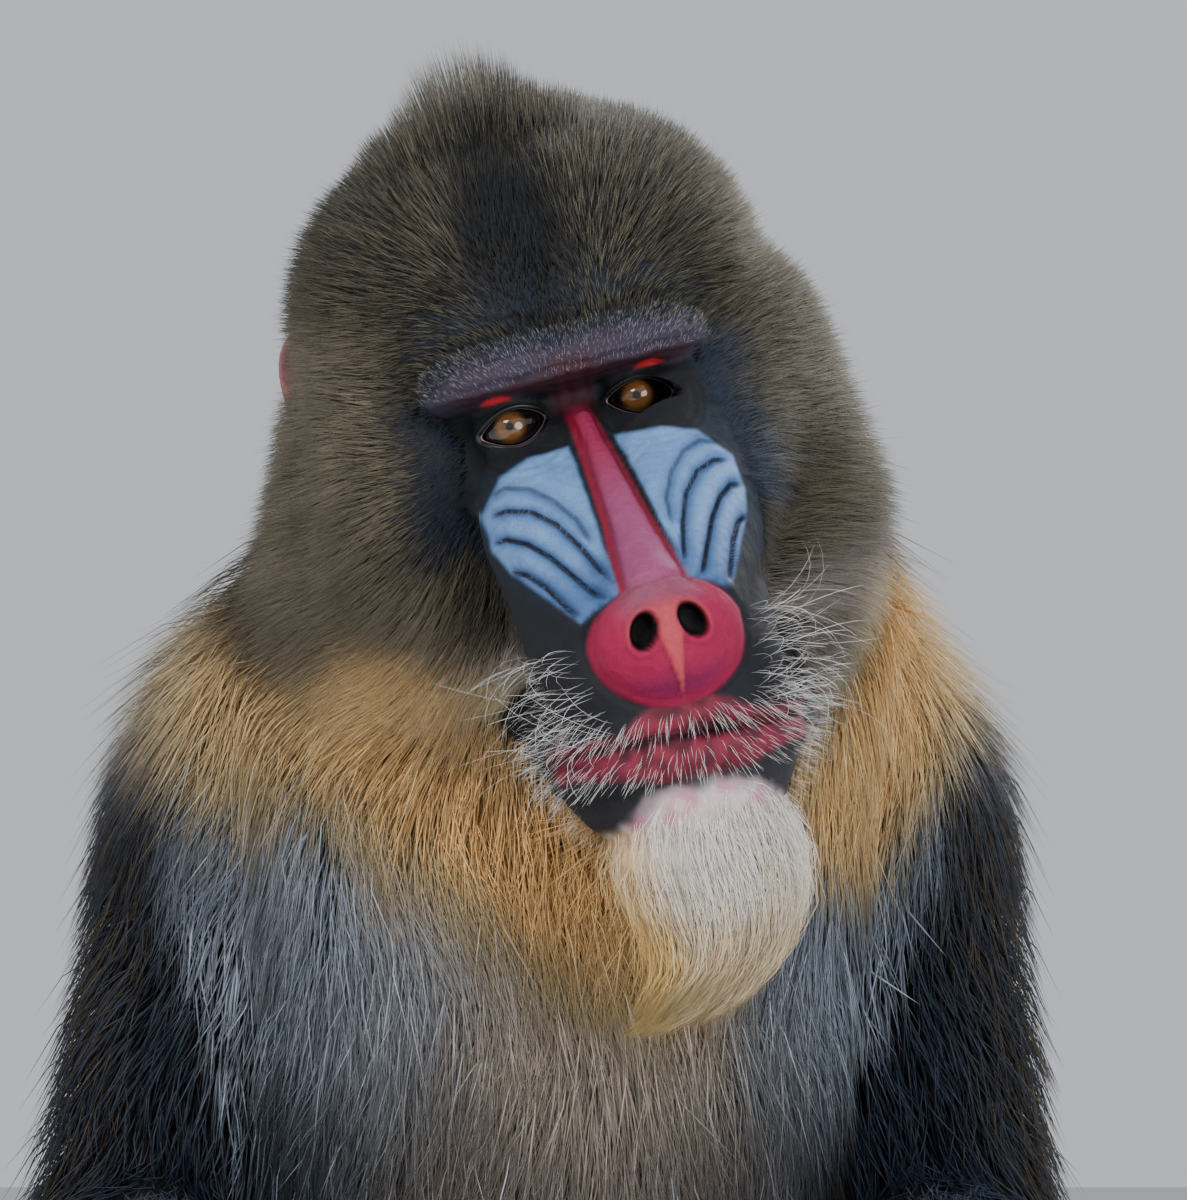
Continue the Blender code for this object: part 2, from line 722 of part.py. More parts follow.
def make_trunk():
    """Torso and neck, parted at the neck's base."""
    beads = []
    add_trunk_beads(beads, CORE_SHARE)
    add_head_beads(beads, CORE_SHARE)
    for sign in SIDES.values():
        slope = [side_of(station, sign) for station in TRAPEZIUS]
        add_beads(beads, slope, COAT["neck"] * CORE_SHARE - 0.004)
        hip = (*side_of(HIP, sign), THIGH_RADII[0])
        add_beads(beads, [hip], COAT["thigh"] * CORE_SHARE - 0.004)
    trunk = fused("torso", beads, 0.005, 5, TRIANGLES["trunk"])
    frame = head_frame()
    turn = frame.to_3x3().normalized()
    away = -(turn @ Vector(HEAD_CUT[1]))
    trunk = keep_side(trunk, frame @ Vector(HEAD_CUT[0]), away)
    point, down = NECK_BASE
    neck = keep_side(copy_of(trunk, "neck"), point, down)
    torso = keep_side(trunk, point, -Vector(down))
    return keep_side(torso, (0, 0, 0), (0, 0, -1), 0), neck


def limb_stations(start, end, radii, bow=(0, 0, 0)):
    """Stations on a line from start to end that bows out at its middle."""
    a, b, out = Vector(start), Vector(end), Vector(bow)
    last = len(radii) - 1
    rows = []
    for i, radius in enumerate(radii):
        t = i / last
        rows.append((*(a.lerp(b, t) + out * math.sin(math.pi * t)), radius))
    return rows


def arm_beads(beads, side, sign):
    shoulder, elbow = side_of(SHOULDER, sign), side_of(ELBOW[side], sign)
    wrist = side_of(WRIST, sign)
    add_beads(beads, limb_stations(shoulder, elbow, ARM_RADII), COAT["upper_arm"])
    add_beads(beads, limb_stations(elbow, wrist, FOREARM_RADII), COAT["forearm"])


def bisector(first, joint, last):
    """Normal of the plane that halves the bend at a joint, pointing towards the last point."""
    inward = (Vector(joint) - Vector(first)).normalized()
    outward = (Vector(last) - Vector(joint)).normalized()
    return (inward + outward).normalized()


def make_arm(side, sign, torso, neck):
    shoulder, elbow = side_of(SHOULDER, sign), side_of(ELBOW[side], sign)
    wrist = side_of(WRIST, sign)
    beads = []
    arm_beads(beads, side, sign)
    whole = fused("upper_arm_" + side, beads, 0.005, 4, TRIANGLES["arm"])
    across = bisector(shoulder, elbow, wrist)
    forearm = keep_side(copy_of(whole, "forearm_" + side), elbow, -across)
    forearm = keep_side(forearm, wrist, wrist_normal(elbow, wrist))
    upper = keep_side(whole, elbow, across)
    return cut_clear(upper, torso, neck), cut_clear(forearm, torso)


def wrist_normal(elbow, wrist):
    return (Vector(wrist) - Vector(elbow)).normalized()


def add_digit(beads, frame, across, start, length, radius, curl, height=0.0):
    """A finger or toe of three bones with its nail. curl is the drop of the tip."""
    fan = 1 + 0.25 * length / start
    path = (
        (across, start - 0.012, height, radius * 1.05),
        (across * (1 + fan) / 2, start + length * 0.45, height - curl * 0.25, radius),
        (across * fan, start + length - radius, height - curl, radius * 0.85),
    )
    add_beads(beads, path, 0, frame, reach=0.5)


def nail_piece(frame, across, start, length, radius, curl, height=0.0):
    """A small plate on the back of a fingertip."""
    fan = 1 + 0.25 * length / start
    lean = Matrix.Rotation(-math.atan2(curl * 1.3, length), 4, "X")
    place = Matrix.Translation(
        (across * fan, start + length - radius * 0.55, height - curl + radius * 0.66)
    )
    return ellipsoid("nail", (0, 0, 0), NAIL, frame @ place @ lean, detail=1)


def hand_frame(side, sign):
    """Frame at the wrist: x across, y along the fingers, z out of the back of the hand."""
    place = Matrix.Translation(side_of(WRIST, sign))
    turn = Matrix.Rotation(math.radians(180 + 4 * sign), 4, "Z")
    return place @ turn @ Matrix.Rotation(-math.radians(HAND_DIP), 4, "X")


def make_hand(side, sign):
    frame = hand_frame(side, sign)
    elbow, wrist = side_of(ELBOW[side], sign), side_of(WRIST, sign)
    beads = []
    forearm = limb_stations(elbow, wrist, FOREARM_RADII)
    add_beads(beads, forearm, COAT["forearm"])
    palm = (
        (0, 0.000, 0, 0.021, 0.018, 0.017),
        (0, 0.030, 0, 0.025, 0.020, 0.015),
        (0, 0.058, 0, 0.028, 0.014, 0.012),
    )
    add_beads(beads, palm, COAT["bare"], frame, reach=0.4)
    nails = []
    for across, length in FINGERS:
        digit = (across, KNUCKLES, length, FINGER_RADIUS, 0.016)
        add_digit(beads, frame, *digit)
        nails.append(nail_piece(frame, *digit))
    inner = -sign * frame_across(frame)
    thumb = (
        (inner * 0.018, 0.016, -0.006, 0.010),
        (inner * 0.031, 0.034, -0.012, 0.0085),
        (inner * 0.036, 0.054, -0.018, 0.0072),
    )
    add_beads(beads, thumb, 0, frame)
    hand = fused("hand_" + side, beads, 0.0022, 3, 1e9)
    hand = keep_side(hand, wrist, -wrist_normal(elbow, wrist))
    thin(hand, TRIANGLES["hand"])
    hand = keep_side(hand, wrist, -wrist_normal(elbow, wrist), GAP)
    return boolean(hand, "UNION", nails)


def frame_across(frame):
    """The sign of the frame's x axis along the body's +X."""
    return 1 if frame.col[0].x > 0 else -1


def make_leg(side, sign, torso):
    hip, knee, ankle = (side_of(p, sign) for p in (HIP, KNEE, ANKLE))
    beads = []
    add_beads(beads, limb_stations(hip, knee, THIGH_RADII), COAT["thigh"])
    add_beads(beads, limb_stations(knee, ankle, SHIN_RADII, (0, 0.010, 0)), COAT["shin"])
    whole = fused("thigh_" + side, beads, 0.005, 4, TRIANGLES["leg"])
    across = bisector(hip, knee, ankle)
    shin = keep_side(copy_of(whole, "shin_" + side), knee, -across)
    shin = keep_side(shin, ankle_cut(sign), (0, -0.15, -1))
    thigh = keep_side(whole, knee, across)
    return cut_clear(thigh, torso), cut_clear(shin, torso)


def ankle_cut(sign):
    return side_of((ANKLE[0], ANKLE[1], ANKLE[2] + 0.004), sign)


def foot_frame(sign):
    """Frame on the floor below the ankle: x across, y towards the toes, z up."""
    place = Matrix.Translation((sign * ANKLE[0], ANKLE[1], 0))
    return place @ Matrix.Rotation(math.radians(180 + sign * FOOT_TURN), 4, "Z")


def make_foot(side, sign):
    frame = foot_frame(sign)
    inner = -sign * frame_across(frame)
    beads = []
    knee, ankle = side_of(KNEE, sign), side_of(ANKLE, sign)
    shin = limb_stations(knee, ankle, SHIN_RADII, (0, 0.010, 0))
    add_beads(beads, shin, COAT["shin"])
    sole = (
        (0, -0.022, 0.020, 0.021, 0.022, 0.022),
        (0, 0.012, 0.026, 0.023, 0.024, 0.028),
        (0, 0.060, 0.021, 0.025, 0.024, 0.023),
        (0, FOOT_BALL - 0.010, 0.014, 0.031, 0.018, 0.0155),
    )
    add_beads(beads, sole, COAT["bare"], frame, reach=0.3)
    nails = []
    for across, length in TOES:
        digit = (across, FOOT_BALL, length, TOE_RADIUS, 0.0015, 0.0085)
        add_digit(beads, frame, *digit)
        nails.append(nail_piece(frame, *digit))
    thumb = (
        (inner * 0.016, 0.046, 0.014, 0.013),
        (inner * 0.034, 0.070, 0.011, 0.011),
        (inner * 0.044, 0.096, 0.009, 0.0095),
    )
    add_beads(beads, thumb, 0, frame)
    foot = fused("foot_" + side, beads, 0.0024, 3, 1e9)
    foot = keep_side(foot, ankle_cut(sign), (0, 0.15, 1))
    thin(foot, TRIANGLES["foot"])
    foot = keep_side(foot, ankle_cut(sign), (0, 0.15, 1), GAP)
    foot = boolean(foot, "UNION", nails)
    return keep_side(foot, (0, 0, 0), (0, 0, -1), 0)


def make_tail(torso):
    beads = []
    stations = [(*p, r) for p, r in zip(TAIL, TAIL_RADII)]
    add_beads(beads, stations, COAT["tail"])
    return cut_clear(fused("tail", beads, 0.004, 3, TRIANGLES["tail"]), torso)


def finish(obj, made_of):
    obj.data.materials.clear()
    obj.data.materials.append(made_of)
    obj.data.shade_smooth()
    obj.data.set_sharp_from_angle(angle=math.radians(50))


def make_guide():
    """One smooth skin round all the cores, along which the locks are laid."""
    beads = []
    add_trunk_beads(beads, CORE_SHARE)
    add_head_beads(beads, CORE_SHARE)
    for side, sign in SIDES.items():
        slope = [side_of(station, sign) for station in TRAPEZIUS]
        add_beads(beads, slope, COAT["neck"] * CORE_SHARE - 0.004)
        arm_beads(beads, side, sign)
        hip, knee = side_of(HIP, sign), side_of(KNEE, sign)
        add_beads(beads, limb_stations(hip, knee, THIGH_RADII), COAT["thigh"])
    tail = [(*p, r) for p, r in zip(TAIL, TAIL_RADII)]
    add_beads(beads, tail, COAT["tail"])
    return fused("guide", beads, 0.0045, 5, TRIANGLES["guide"])


def dress(cores):
    """Joins the locks to the nodes that they grow from, each node cut clear of the others."""
    guide = make_guide()
    blades = scatter_locks(guide, cores)
    bpy.data.objects.remove(guide)
    for core in cores:
        own = blades[core.name]
        if not own:
            continue
        boolean(core, "UNION", own)
        others = [o for o in cores if o is not core and near_to(core, o)]
        for other in others:
            boolean(core, "DIFFERENCE", [fattened(other, GAP * 0.8)])


def near_to(one, other, margin=0.002):
    """Whether the boxes round two meshes meet."""
    boxes = []
    for obj in (one, other):
        places = [v.co for v in obj.data.vertices]
        low = [min(p[k] for p in places) - margin for k in range(3)]
        high = [max(p[k] for p in places) + margin for k in range(3)]
        boxes.append((low, high))
    (low_a, high_a), (low_b, high_b) = boxes
    return all(low_a[k] < high_b[k] and low_b[k] < high_a[k] for k in range(3))


def centre_on_floor(objects):
    """Moves the meshes so that the middle of their box lies over the origin."""
    places = [v.co for obj in objects for v in obj.data.vertices]
    low = [min(p[k] for p in places) for k in range(2)]
    high = [max(p[k] for p in places) for k in range(2)]
    shift = Vector((-(low[0] + high[0]) / 2, -(low[1] + high[1]) / 2, 0))
    for obj in objects:
        obj.data.transform(Matrix.Translation(shift))


def main():
    clear_scene()
    materials = {n: material(n, c, 0.35 if n == "eye" else 0.8) for n, c in COLOURS.items()}
    torso, neck = make_trunk()
    head, jaw = make_head(lambda beads: add_trunk_beads(beads, CORE_SHARE))
    neck = cut_clear(neck, jaw)
    pieces = [(torso, "coat_fur"), (neck, "ruff_fur"), (head, "face_skin"), (jaw, "beard_fur")]
    pieces += [(eye, "eye") for eye in make_eyes()]
    for side, sign in SIDES.items():
        pieces.append((make_ear(side, sign, head), "ear_skin"))
        upper, forearm = make_arm(side, sign, torso, neck)
        thigh, shin = make_leg(side, sign, torso)
        pieces += [(p, "coat_fur") for p in (upper, forearm, thigh, shin)]
        pieces += [(make_hand(side, sign), "hand_skin"), (make_foot(side, sign), "hand_skin")]
    pieces.append((make_tail(torso), "coat_fur"))
    dress([obj for obj, _ in pieces])
    centre_on_floor([obj for obj, _ in pieces])
    for obj, kind in pieces:
        finish(obj, materials[kind])


main()
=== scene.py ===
import math

import bmesh
import bpy
import numpy as np
from mathutils import Matrix, Vector, noise
from mathutils.bvhtree import BVHTree
from mathutils.kdtree import KDTree


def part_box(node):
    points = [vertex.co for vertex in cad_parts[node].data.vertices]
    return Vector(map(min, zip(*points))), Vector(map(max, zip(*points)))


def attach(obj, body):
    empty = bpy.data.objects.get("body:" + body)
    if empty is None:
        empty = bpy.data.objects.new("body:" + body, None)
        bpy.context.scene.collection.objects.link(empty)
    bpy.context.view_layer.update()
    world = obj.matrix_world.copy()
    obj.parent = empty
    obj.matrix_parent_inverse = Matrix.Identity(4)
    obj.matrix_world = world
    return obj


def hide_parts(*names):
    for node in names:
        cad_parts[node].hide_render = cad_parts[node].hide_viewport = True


# A seated adult male mandrill: one skin, its coat in tufts, whiskers, beard, eyes and nails.
# Body sizes are in metres as drawn, head sizes in millimetres from the point between the eyes.

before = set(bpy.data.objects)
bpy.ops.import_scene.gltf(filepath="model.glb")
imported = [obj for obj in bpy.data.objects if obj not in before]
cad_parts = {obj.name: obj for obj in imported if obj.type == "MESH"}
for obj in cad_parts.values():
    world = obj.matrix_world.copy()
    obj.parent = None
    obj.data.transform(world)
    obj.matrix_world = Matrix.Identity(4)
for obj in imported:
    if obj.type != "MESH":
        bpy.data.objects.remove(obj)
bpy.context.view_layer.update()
mm = 0.001
rng = np.random.default_rng(7)

pose = {
    "eyes": (0.007, -0.090, 0.600), "turn": 7.0, "lean": 14.0,  # the head, in degrees
    "eyeBall": (22.0, 9.5, 0.0), "eyeRadius": 10.5,
    "wrist": (0.124, -0.166, 0.311), "handDip": 56.0,
    "ankle": (0.138, -0.058, 0.046), "footTurn": 9.0,
}


def turned(degrees, axis):
    return Matrix.Rotation(math.radians(degrees), 4, axis)


headDrawn = Matrix.Translation(pose["eyes"]) @ turned(pose["turn"], "Z") @ turned(-pose["lean"], "Y") @ Matrix.Scale(mm, 4)
eyesNow = sum((corner for name in ("eye_left", "eye_right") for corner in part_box(name)), Vector()) / 4
shift = eyesNow - headDrawn @ Vector((0, pose["eyeBall"][1], 0))  # the solids were centred on the floor
shift.z = 0
bodyFrame = Matrix.Translation(shift)
headFrame = bodyFrame @ headDrawn
headAxes = np.array(headFrame.to_3x3().normalized())
headOrigin = np.array(headFrame.translation)
sides = {"right": -1, "left": 1}


def toHead(places):
    return (places - headOrigin) @ headAxes / mm


def handFrame(sign):
    x, y, z = pose["wrist"]
    return bodyFrame @ Matrix.Translation((sign * x, y, z)) @ turned(180 + 4 * sign, "Z") @ turned(-pose["handDip"], "X")


def footFrame(sign):
    x, y, _ = pose["ankle"]
    return bodyFrame @ Matrix.Translation((sign * x, y, 0)) @ turned(180 + sign * pose["footTurn"], "Z")


# ---- small tools ----

def colourOf(code):
    """Linear colour of a hex code."""
    parts = np.array([int(code[i:i + 2], 16) / 255 for i in (1, 3, 5)])
    return np.where(parts <= 0.04045, parts / 12.92, ((parts + 0.055) / 1.055) ** 2.4)


def step(low, high, value):
    t = np.clip((value - low) / (high - low), 0, 1)
    return t * t * (3 - 2 * t)


def mixed(base, colour, mask):
    mask = np.clip(mask, 0, 1)[:, None]
    return base * (1 - mask) + np.asarray(colour) * mask


def unit(vectors):
    return vectors / np.maximum(np.linalg.norm(vectors, axis=1, keepdims=True), 1e-9)


def toPath(points, path):
    """Distance of flat points to an open path, and how far along it each lies from 0 to 1."""
    path = np.asarray(path, float)
    spans = np.linalg.norm(np.diff(path, axis=0), axis=1)
    best = np.full(len(points), 1e9)
    along = np.zeros(len(points))
    done = 0.0
    for a, b, span in zip(path, path[1:], spans):
        t = np.clip(((points - a) @ (b - a)) / span ** 2, 0, 1)
        away = np.linalg.norm(points - a - t[:, None] * (b - a), axis=1)
        along = np.where(away < best, (done + t * span) / spans.sum(), along)
        best = np.minimum(best, away)
        done += span
    return best, along


def inOutline(points, outline):
    """Signed distance to a closed flat outline, positive inside."""
    outline = np.asarray(outline, float)
    away, _ = toPath(points, np.vstack([outline, outline[:1]]))
    inside = np.zeros(len(points), bool)
    for (ax, ay), (bx, by) in zip(outline, np.roll(outline, -1, axis=0)):
        if ay != by:
            crosses = (ay > points[:, 1]) != (by > points[:, 1])
            inside ^= crosses & (points[:, 0] < (bx - ax) * (points[:, 1] - ay) / (by - ay) + ax)
    return np.where(inside, away, -away)


def grain(places, size, seed=0.0):
    """Smooth noise from -1 to 1 at each place."""
    offset = Vector((seed * 7.3, seed * 3.1, seed * 5.7))
    return np.array([noise.noise(Vector(p) / size + offset) for p in places])


def show(name, mesh, slot, *materials):
    made = bpy.data.objects.new(name, mesh)
    bpy.context.scene.collection.objects.link(made)
    for used in materials:
        mesh.materials.append(used)
    mesh.shade_smooth()
    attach(made, "root")
    return made


def meshOf(name, places, triangles):
    mesh = bpy.data.meshes.new(name)
    mesh.vertices.add(len(places))
    mesh.vertices.foreach_set("co", np.asarray(places, np.float32).ravel())
    mesh.loops.add(triangles.size)
    mesh.loops.foreach_set("vertex_index", triangles.astype(np.int32).ravel())
    mesh.polygons.add(len(triangles))
    mesh.polygons.foreach_set("loop_start", np.arange(0, triangles.size, 3, dtype=np.int32))
    mesh.update(calc_edges=True)
    return mesh


def readMesh(mesh):
    """Places, normals and triangles of a mesh as arrays."""
    places = np.empty(len(mesh.vertices) * 3, np.float32)
    mesh.vertices.foreach_get("co", places)
    normals = np.empty(len(mesh.vertices) * 3, np.float32)
    mesh.vertex_normals.foreach_get("vector", normals)
    mesh.calc_loop_triangles()
    triangles = np.empty(len(mesh.loop_triangles) * 3, np.int32)
    mesh.loop_triangles.foreach_get("vertices", triangles)
    return places.reshape(-1, 3).astype(float), normals.reshape(-1, 3).astype(float), triangles.reshape(-1, 3)


def putTint(mesh, colours, name="tint"):
    layer = mesh.color_attributes.new(name, "FLOAT_COLOR", "POINT")
    layer.data.foreach_set("color", np.hstack([colours, np.ones((len(colours), 1))]).astype(np.float32).ravel())


# ---- shader maths ----

class Wire:
    """A socket of a material's nodes that works in expressions."""

    def __init__(self, tree, socket):
        self.tree, self.socket = tree, socket

    def node(self, kind, settings=None, out=0, **inputs):
        made = self.tree.nodes.new("ShaderNode" + kind)
        for key, value in (settings or {}).items():
            if key == "stops":
                ramp = made.color_ramp
                while len(ramp.elements) < len(value):
                    ramp.elements.new(0.5)
                for element, (place, colour) in zip(ramp.elements, value):
                    element.position, element.color = place, (*colour, 1)
            else:
                setattr(made, key, value)
        for key, value in inputs.items():
            index = int(key[1:]) if key[0] == "i" and key[1:].isdigit() else None
            socket = made.inputs[index] if index is not None else made.inputs[key.replace("_", " ")]
            if isinstance(value, Wire):
                self.tree.links.new(value.socket, socket)
            else:
                socket.default_value = value
        return Wire(self.tree, made.outputs[out])

    def maths(self, operation, other, flip=False):
        pair = (other, self) if flip else (self, other)
        return self.node("Math", {"operation": operation}, i0=pair[0], i1=pair[1])

    def __add__(self, other):
        return self.maths("ADD", other)

    def __mul__(self, other):
        return self.maths("MULTIPLY", other)

    def __sub__(self, other):
        return self.maths("SUBTRACT", other)

    def __rsub__(self, other):
        return self.maths("SUBTRACT", other, True)

    def __truediv__(self, other):
        return self.maths("DIVIDE", other)

    __radd__, __rmul__ = __add__, __mul__


def newMaterial(name, roughness, **fixed):
    made = bpy.data.materials.new(name)
    made.use_nodes = True
    tree = made.node_tree
    shader = tree.nodes["Principled BSDF"]
    shader.inputs["Roughness"].default_value = roughness
    for key, value in fixed.items():
        shader.inputs[key.replace("_", " ")].default_value = value
    return made, Wire(tree, None), shader


def plug(wire, shader, socket):
    wire.tree.links.new(wire.socket, shader.inputs[socket])


def objectPlace(base):
    return base.node("TexCoord", out=3)


def noiseAt(base, place, scale, detail=3.0):
    return base.node("TexNoise", out=0, Vector=place, Scale=scale, Detail=detail)


def tintedMaterial(name, roughness, bump, scale, spread=0.12, **fixed):  # the mesh's own tint, broken up by noise
    made, base, shader = newMaterial(name, roughness, **fixed)
    place = objectPlace(base)
    fine = noiseAt(base, place, scale, 1.0)
    shade = base.node("Mix", {"data_type": "RGBA", "blend_type": "MULTIPLY"}, out=2, i0=spread * 3,
                      i6=base.node("Attribute", {"attribute_name": "tint"}),
                      i7=base.node("ValToRGB", {"stops": [(0.3, (0.55,) * 3), (0.7, (1.15,) * 3)]}, Fac=fine))
    plug(shade, shader, "Base Color")
    return made


def skinMaterial():  # the tint with pores and sharp furrows darkened by painted shade, read from distances that the mesh carries
    made, base, shader = newMaterial("bareSkin", 0.5, Specular_IOR_Level=0.32)
    place = objectPlace(base)
    fine, pores, folds = noiseAt(base, place, 1900.0), noiseAt(base, place, 5200.0, 1.0), noiseAt(base, place, 330.0)
    lines = base.node("SeparateColor", Color=base.node("Attribute", {"attribute_name": "lines"}))
    near, strength, bare = (Wire(base.tree, lines.socket.node.outputs[k]) for k in range(3))
    groove = base.node("MapRange", {"interpolation_type": "SMOOTHSTEP"}, Value=near + fine * 0.05, From_Min=0.29, From_Max=0.09)
    dark = groove * strength
    speck = base.node("MapRange", {"interpolation_type": "SMOOTHSTEP"}, Value=pores, From_Min=0.58, From_Max=0.68) * bare
    mottle = base.node("Mix", {"data_type": "RGBA", "blend_type": "MULTIPLY"}, out=2, i0=0.75,
                       i6=base.node("Attribute", {"attribute_name": "tint"}),
                       i7=base.node("ValToRGB", {"stops": [(0.25, (0.62,) * 3), (0.75, (1.25,) * 3)]}, Fac=fine * 0.55 + folds * 0.45))
    # painted shade: the dark furrow colour laid along each groove
    grooved = base.node("Mix", {"data_type": "RGBA"}, out=2, i0=dark, i6=mottle, i7=(*palette["furrow"], 1))
    plug(base.node("Mix", {"data_type": "RGBA"}, out=2, i0=speck * 0.7, i6=grooved, i7=(*palette["speck"], 1)), shader, "Base Color")
    height = fine * 0.5 + pores * 0.25 + folds * 0.8 - dark * 0.9
    plug(base.node("Bump", Strength=0.55, Distance=0.0007, Height=height), shader, "Normal")
    plug(0.62 - bare * 0.16 + fine * 0.12, shader, "Roughness")
    return made


# ---- body forms: fused beads ----

ball = bmesh.new()
bmesh.ops.create_icosphere(ball, subdivisions=3, radius=1)
ballPlaces = np.array([(*v.co, 1) for v in ball.verts])
ballFaces = np.array([[v.index for v in f.verts] for f in ball.faces])
ball.free()


def along(stations, reach):
    rows = [np.array(s, float) for s in (stations[0], *stations, stations[-1])]
    out = []
    for a, b, c, d in zip(rows, rows[1:], rows[2:], rows[3:]):
        steps = max(1, math.ceil(np.linalg.norm((c - b)[:3]) / (reach * min(b[3:].min(), c[3:].min()))))
        for t in np.arange(steps) / steps:
            out.append(b + 0.5 * ((c - a) * t + (2 * a - 5 * b + 4 * c - d) * t ** 2 + (3 * b - a - 3 * c + d) * t ** 3))
    return [*out, rows[-1]]


def addBeads(beads, stations, place, grow=0.0, reach=0.4):
    """Balls along a curve of stations x, y, z and one radius or three."""
    full = [s if len(s) == 6 else (*s[:3], *(s[3],) * 3) for s in stations]
    for x, y, z, *radii in along(full, reach):
        beads.append(place @ Matrix.Translation((x, y, z)) @ Matrix.Diagonal((*(r + grow for r in radii), 1)))


def fuse(name, beads, voxel, smoothing):
    """One closed skin round the beads."""
    places = np.concatenate([(ballPlaces @ np.array(m).T)[:, :3] for m in beads])
    faces = np.concatenate([ballFaces + i * len(ballPlaces) for i in range(len(beads))])
    return voxelSkin(name, meshOf(name, places, faces), voxel, smoothing)


def voxelSkin(name, mesh, voxel, smoothing):
    made = bpy.data.objects.new(name, mesh)
    bpy.context.scene.collection.objects.link(made)
    remesh = made.modifiers.new("Remesh", "REMESH")
    remesh.mode, remesh.voxel_size = "VOXEL", voxel
    smooth = made.modifiers.new("Smooth", "SMOOTH")
    smooth.factor, smooth.iterations = 0.5, smoothing
    return applied(made)


def applied(made):
    bpy.context.view_layer.update()
    done = bpy.data.meshes.new_from_object(made.evaluated_get(bpy.context.evaluated_depsgraph_get()))
    made.modifiers.clear()
    made.data = done
    return made


def flip(path, sign):
    return [(x * sign, *rest) for x, *rest in path]


body = {
    "trunk": ((0.062, 0.046, 0.084, 0.080, 0.050), (0.074, 0.110, 0.102, 0.090, 0.060),
              (0.082, 0.190, 0.099, 0.094, 0.060), (0.078, 0.280, 0.100, 0.100, 0.060),
              (0.060, 0.370, 0.108, 0.108, 0.060), (0.040, 0.440, 0.112, 0.102, 0.052),
              (0.022, 0.500, 0.102, 0.090, 0.048), (0.008, 0.548, 0.101, 0.080, 0.044),
              (-0.002, 0.596, 0.094, 0.070, 0.040)),  # centre y and z, half width, depth and height
    "slopes": ((0.045, 0.034, 0.535, 0.046), (0.104, 0.038, 0.462, 0.044)),
    "shoulder": (0.104, 0.034, 0.450), "elbow": {"left": (0.137, 0.048, 0.286), "right": (0.150, 0.048, 0.286)},
    "armRadii": (0.044, 0.040, 0.036, 0.033), "forearmRadii": (0.033, 0.031, 0.025, 0.019),
    "hip": (0.078, 0.066, 0.108), "knee": (0.152, -0.108, 0.220),
    "thighRadii": (0.070, 0.060, 0.050, 0.040), "shinRadii": (0.038, 0.037, 0.027, 0.021),
    "tail": ((0.0, 0.150, 0.118, 0.016), (0.0, 0.186, 0.140, 0.013), (0.0, 0.205, 0.176, 0.009)),
    "voxel": 0.0046,
}


def limb(start, end, radii, bow=0.0):
    a, b = Vector(start), Vector(end)
    last = len(radii) - 1
    return [(*(a.lerp(b, i / last) + Vector((0, bow, 0)) * math.sin(math.pi * i / last)), r) for i, r in enumerate(radii)]


def limbsOf(side):
    """Stations of the four long bones on one side, in the order arm, forearm, thigh and shin."""
    sign = sides[side]
    at = {k: flip([body[k]], sign)[0] for k in ("shoulder", "hip", "knee")}
    elbow = flip([body["elbow"][side]], sign)[0]
    wrist, ankle = (flip([pose[k]], sign)[0] for k in ("wrist", "ankle"))
    return (limb(at["shoulder"], elbow, body["armRadii"]), limb(elbow, wrist, body["forearmRadii"]),
            limb(at["hip"], at["knee"], body["thighRadii"]), limb(at["knee"], ankle, body["shinRadii"], 0.010))


def makeBodySkin():
    beads = []
    addBeads(beads, [(0, y, z, w, d, h) for y, z, w, d, h in body["trunk"]], bodyFrame, 0, 0.35)
    addBeads(beads, body["tail"], bodyFrame, 0, 0.3)
    for side, sign in sides.items():
        addBeads(beads, flip(body["slopes"], sign), bodyFrame)
        for bone in limbsOf(side):
            addBeads(beads, bone, bodyFrame, 0, 0.35)
    return fuse("bodySkin", beads, body["voxel"], 4)


hands = {
    "fingers": ((-0.0235, 0.044), (-0.008, 0.050), (0.008, 0.049), (0.0225, 0.042)), "fingerRadius": 0.0072,
    "knuckles": 0.064, "curl": 0.016,
    "palm": ((0, 0.000, 0, 0.021, 0.018, 0.017), (0, 0.030, 0, 0.025, 0.020, 0.015), (0, 0.058, 0, 0.028, 0.014, 0.012)),
    "thumb": ((0.018, 0.016, -0.006, 0.010), (0.031, 0.034, -0.012, 0.0085), (0.036, 0.054, -0.018, 0.0072)),
    "toes": ((-0.022, 0.042), (-0.008, 0.047), (0.0065, 0.045), (0.0205, 0.039)), "toeRadius": 0.0078,
    "toeStart": 0.112, "toeHeight": 0.0085, "toeCurl": 0.0015,
    "sole": ((0, -0.022, 0.020, 0.021, 0.022, 0.022), (0, 0.012, 0.026, 0.023, 0.024, 0.028),
             (0, 0.060, 0.021, 0.025, 0.024, 0.023), (0, 0.102, 0.014, 0.031, 0.018, 0.0155)),
    "bigToe": ((0.016, 0.046, 0.014, 0.013), (0.034, 0.070, 0.011, 0.011), (0.044, 0.096, 0.009, 0.0095)),
    "voxel": 0.0021, "nail": (0.0044, 0.0064, 0.0017),
}


def addDigit(beads, nails, place, across, start, length, radius, curl, height=0.0):
    fan = 1 + 0.25 * length / start
    bones = ((across, start - 0.012, height, radius * 1.05),
             (across * (1 + fan) / 2, start + length * 0.45, height - curl * 0.25, radius * 0.97),
             (across * fan, start + length - radius, height - curl, radius * 0.85))
    addBeads(beads, bones, place, 0, 0.3)
    for x, y, z, r in bones[1:2]:  # the knuckle stands out a little
        addBeads(beads, [(x, y, z, r * 1.06)], place)
    tilt = turned(-math.degrees(math.atan2(curl * 1.3, length)), "X")
    nails.append(place @ Matrix.Translation((across * fan, start + length - radius * 0.55, height - curl + radius * 0.66)) @ tilt)


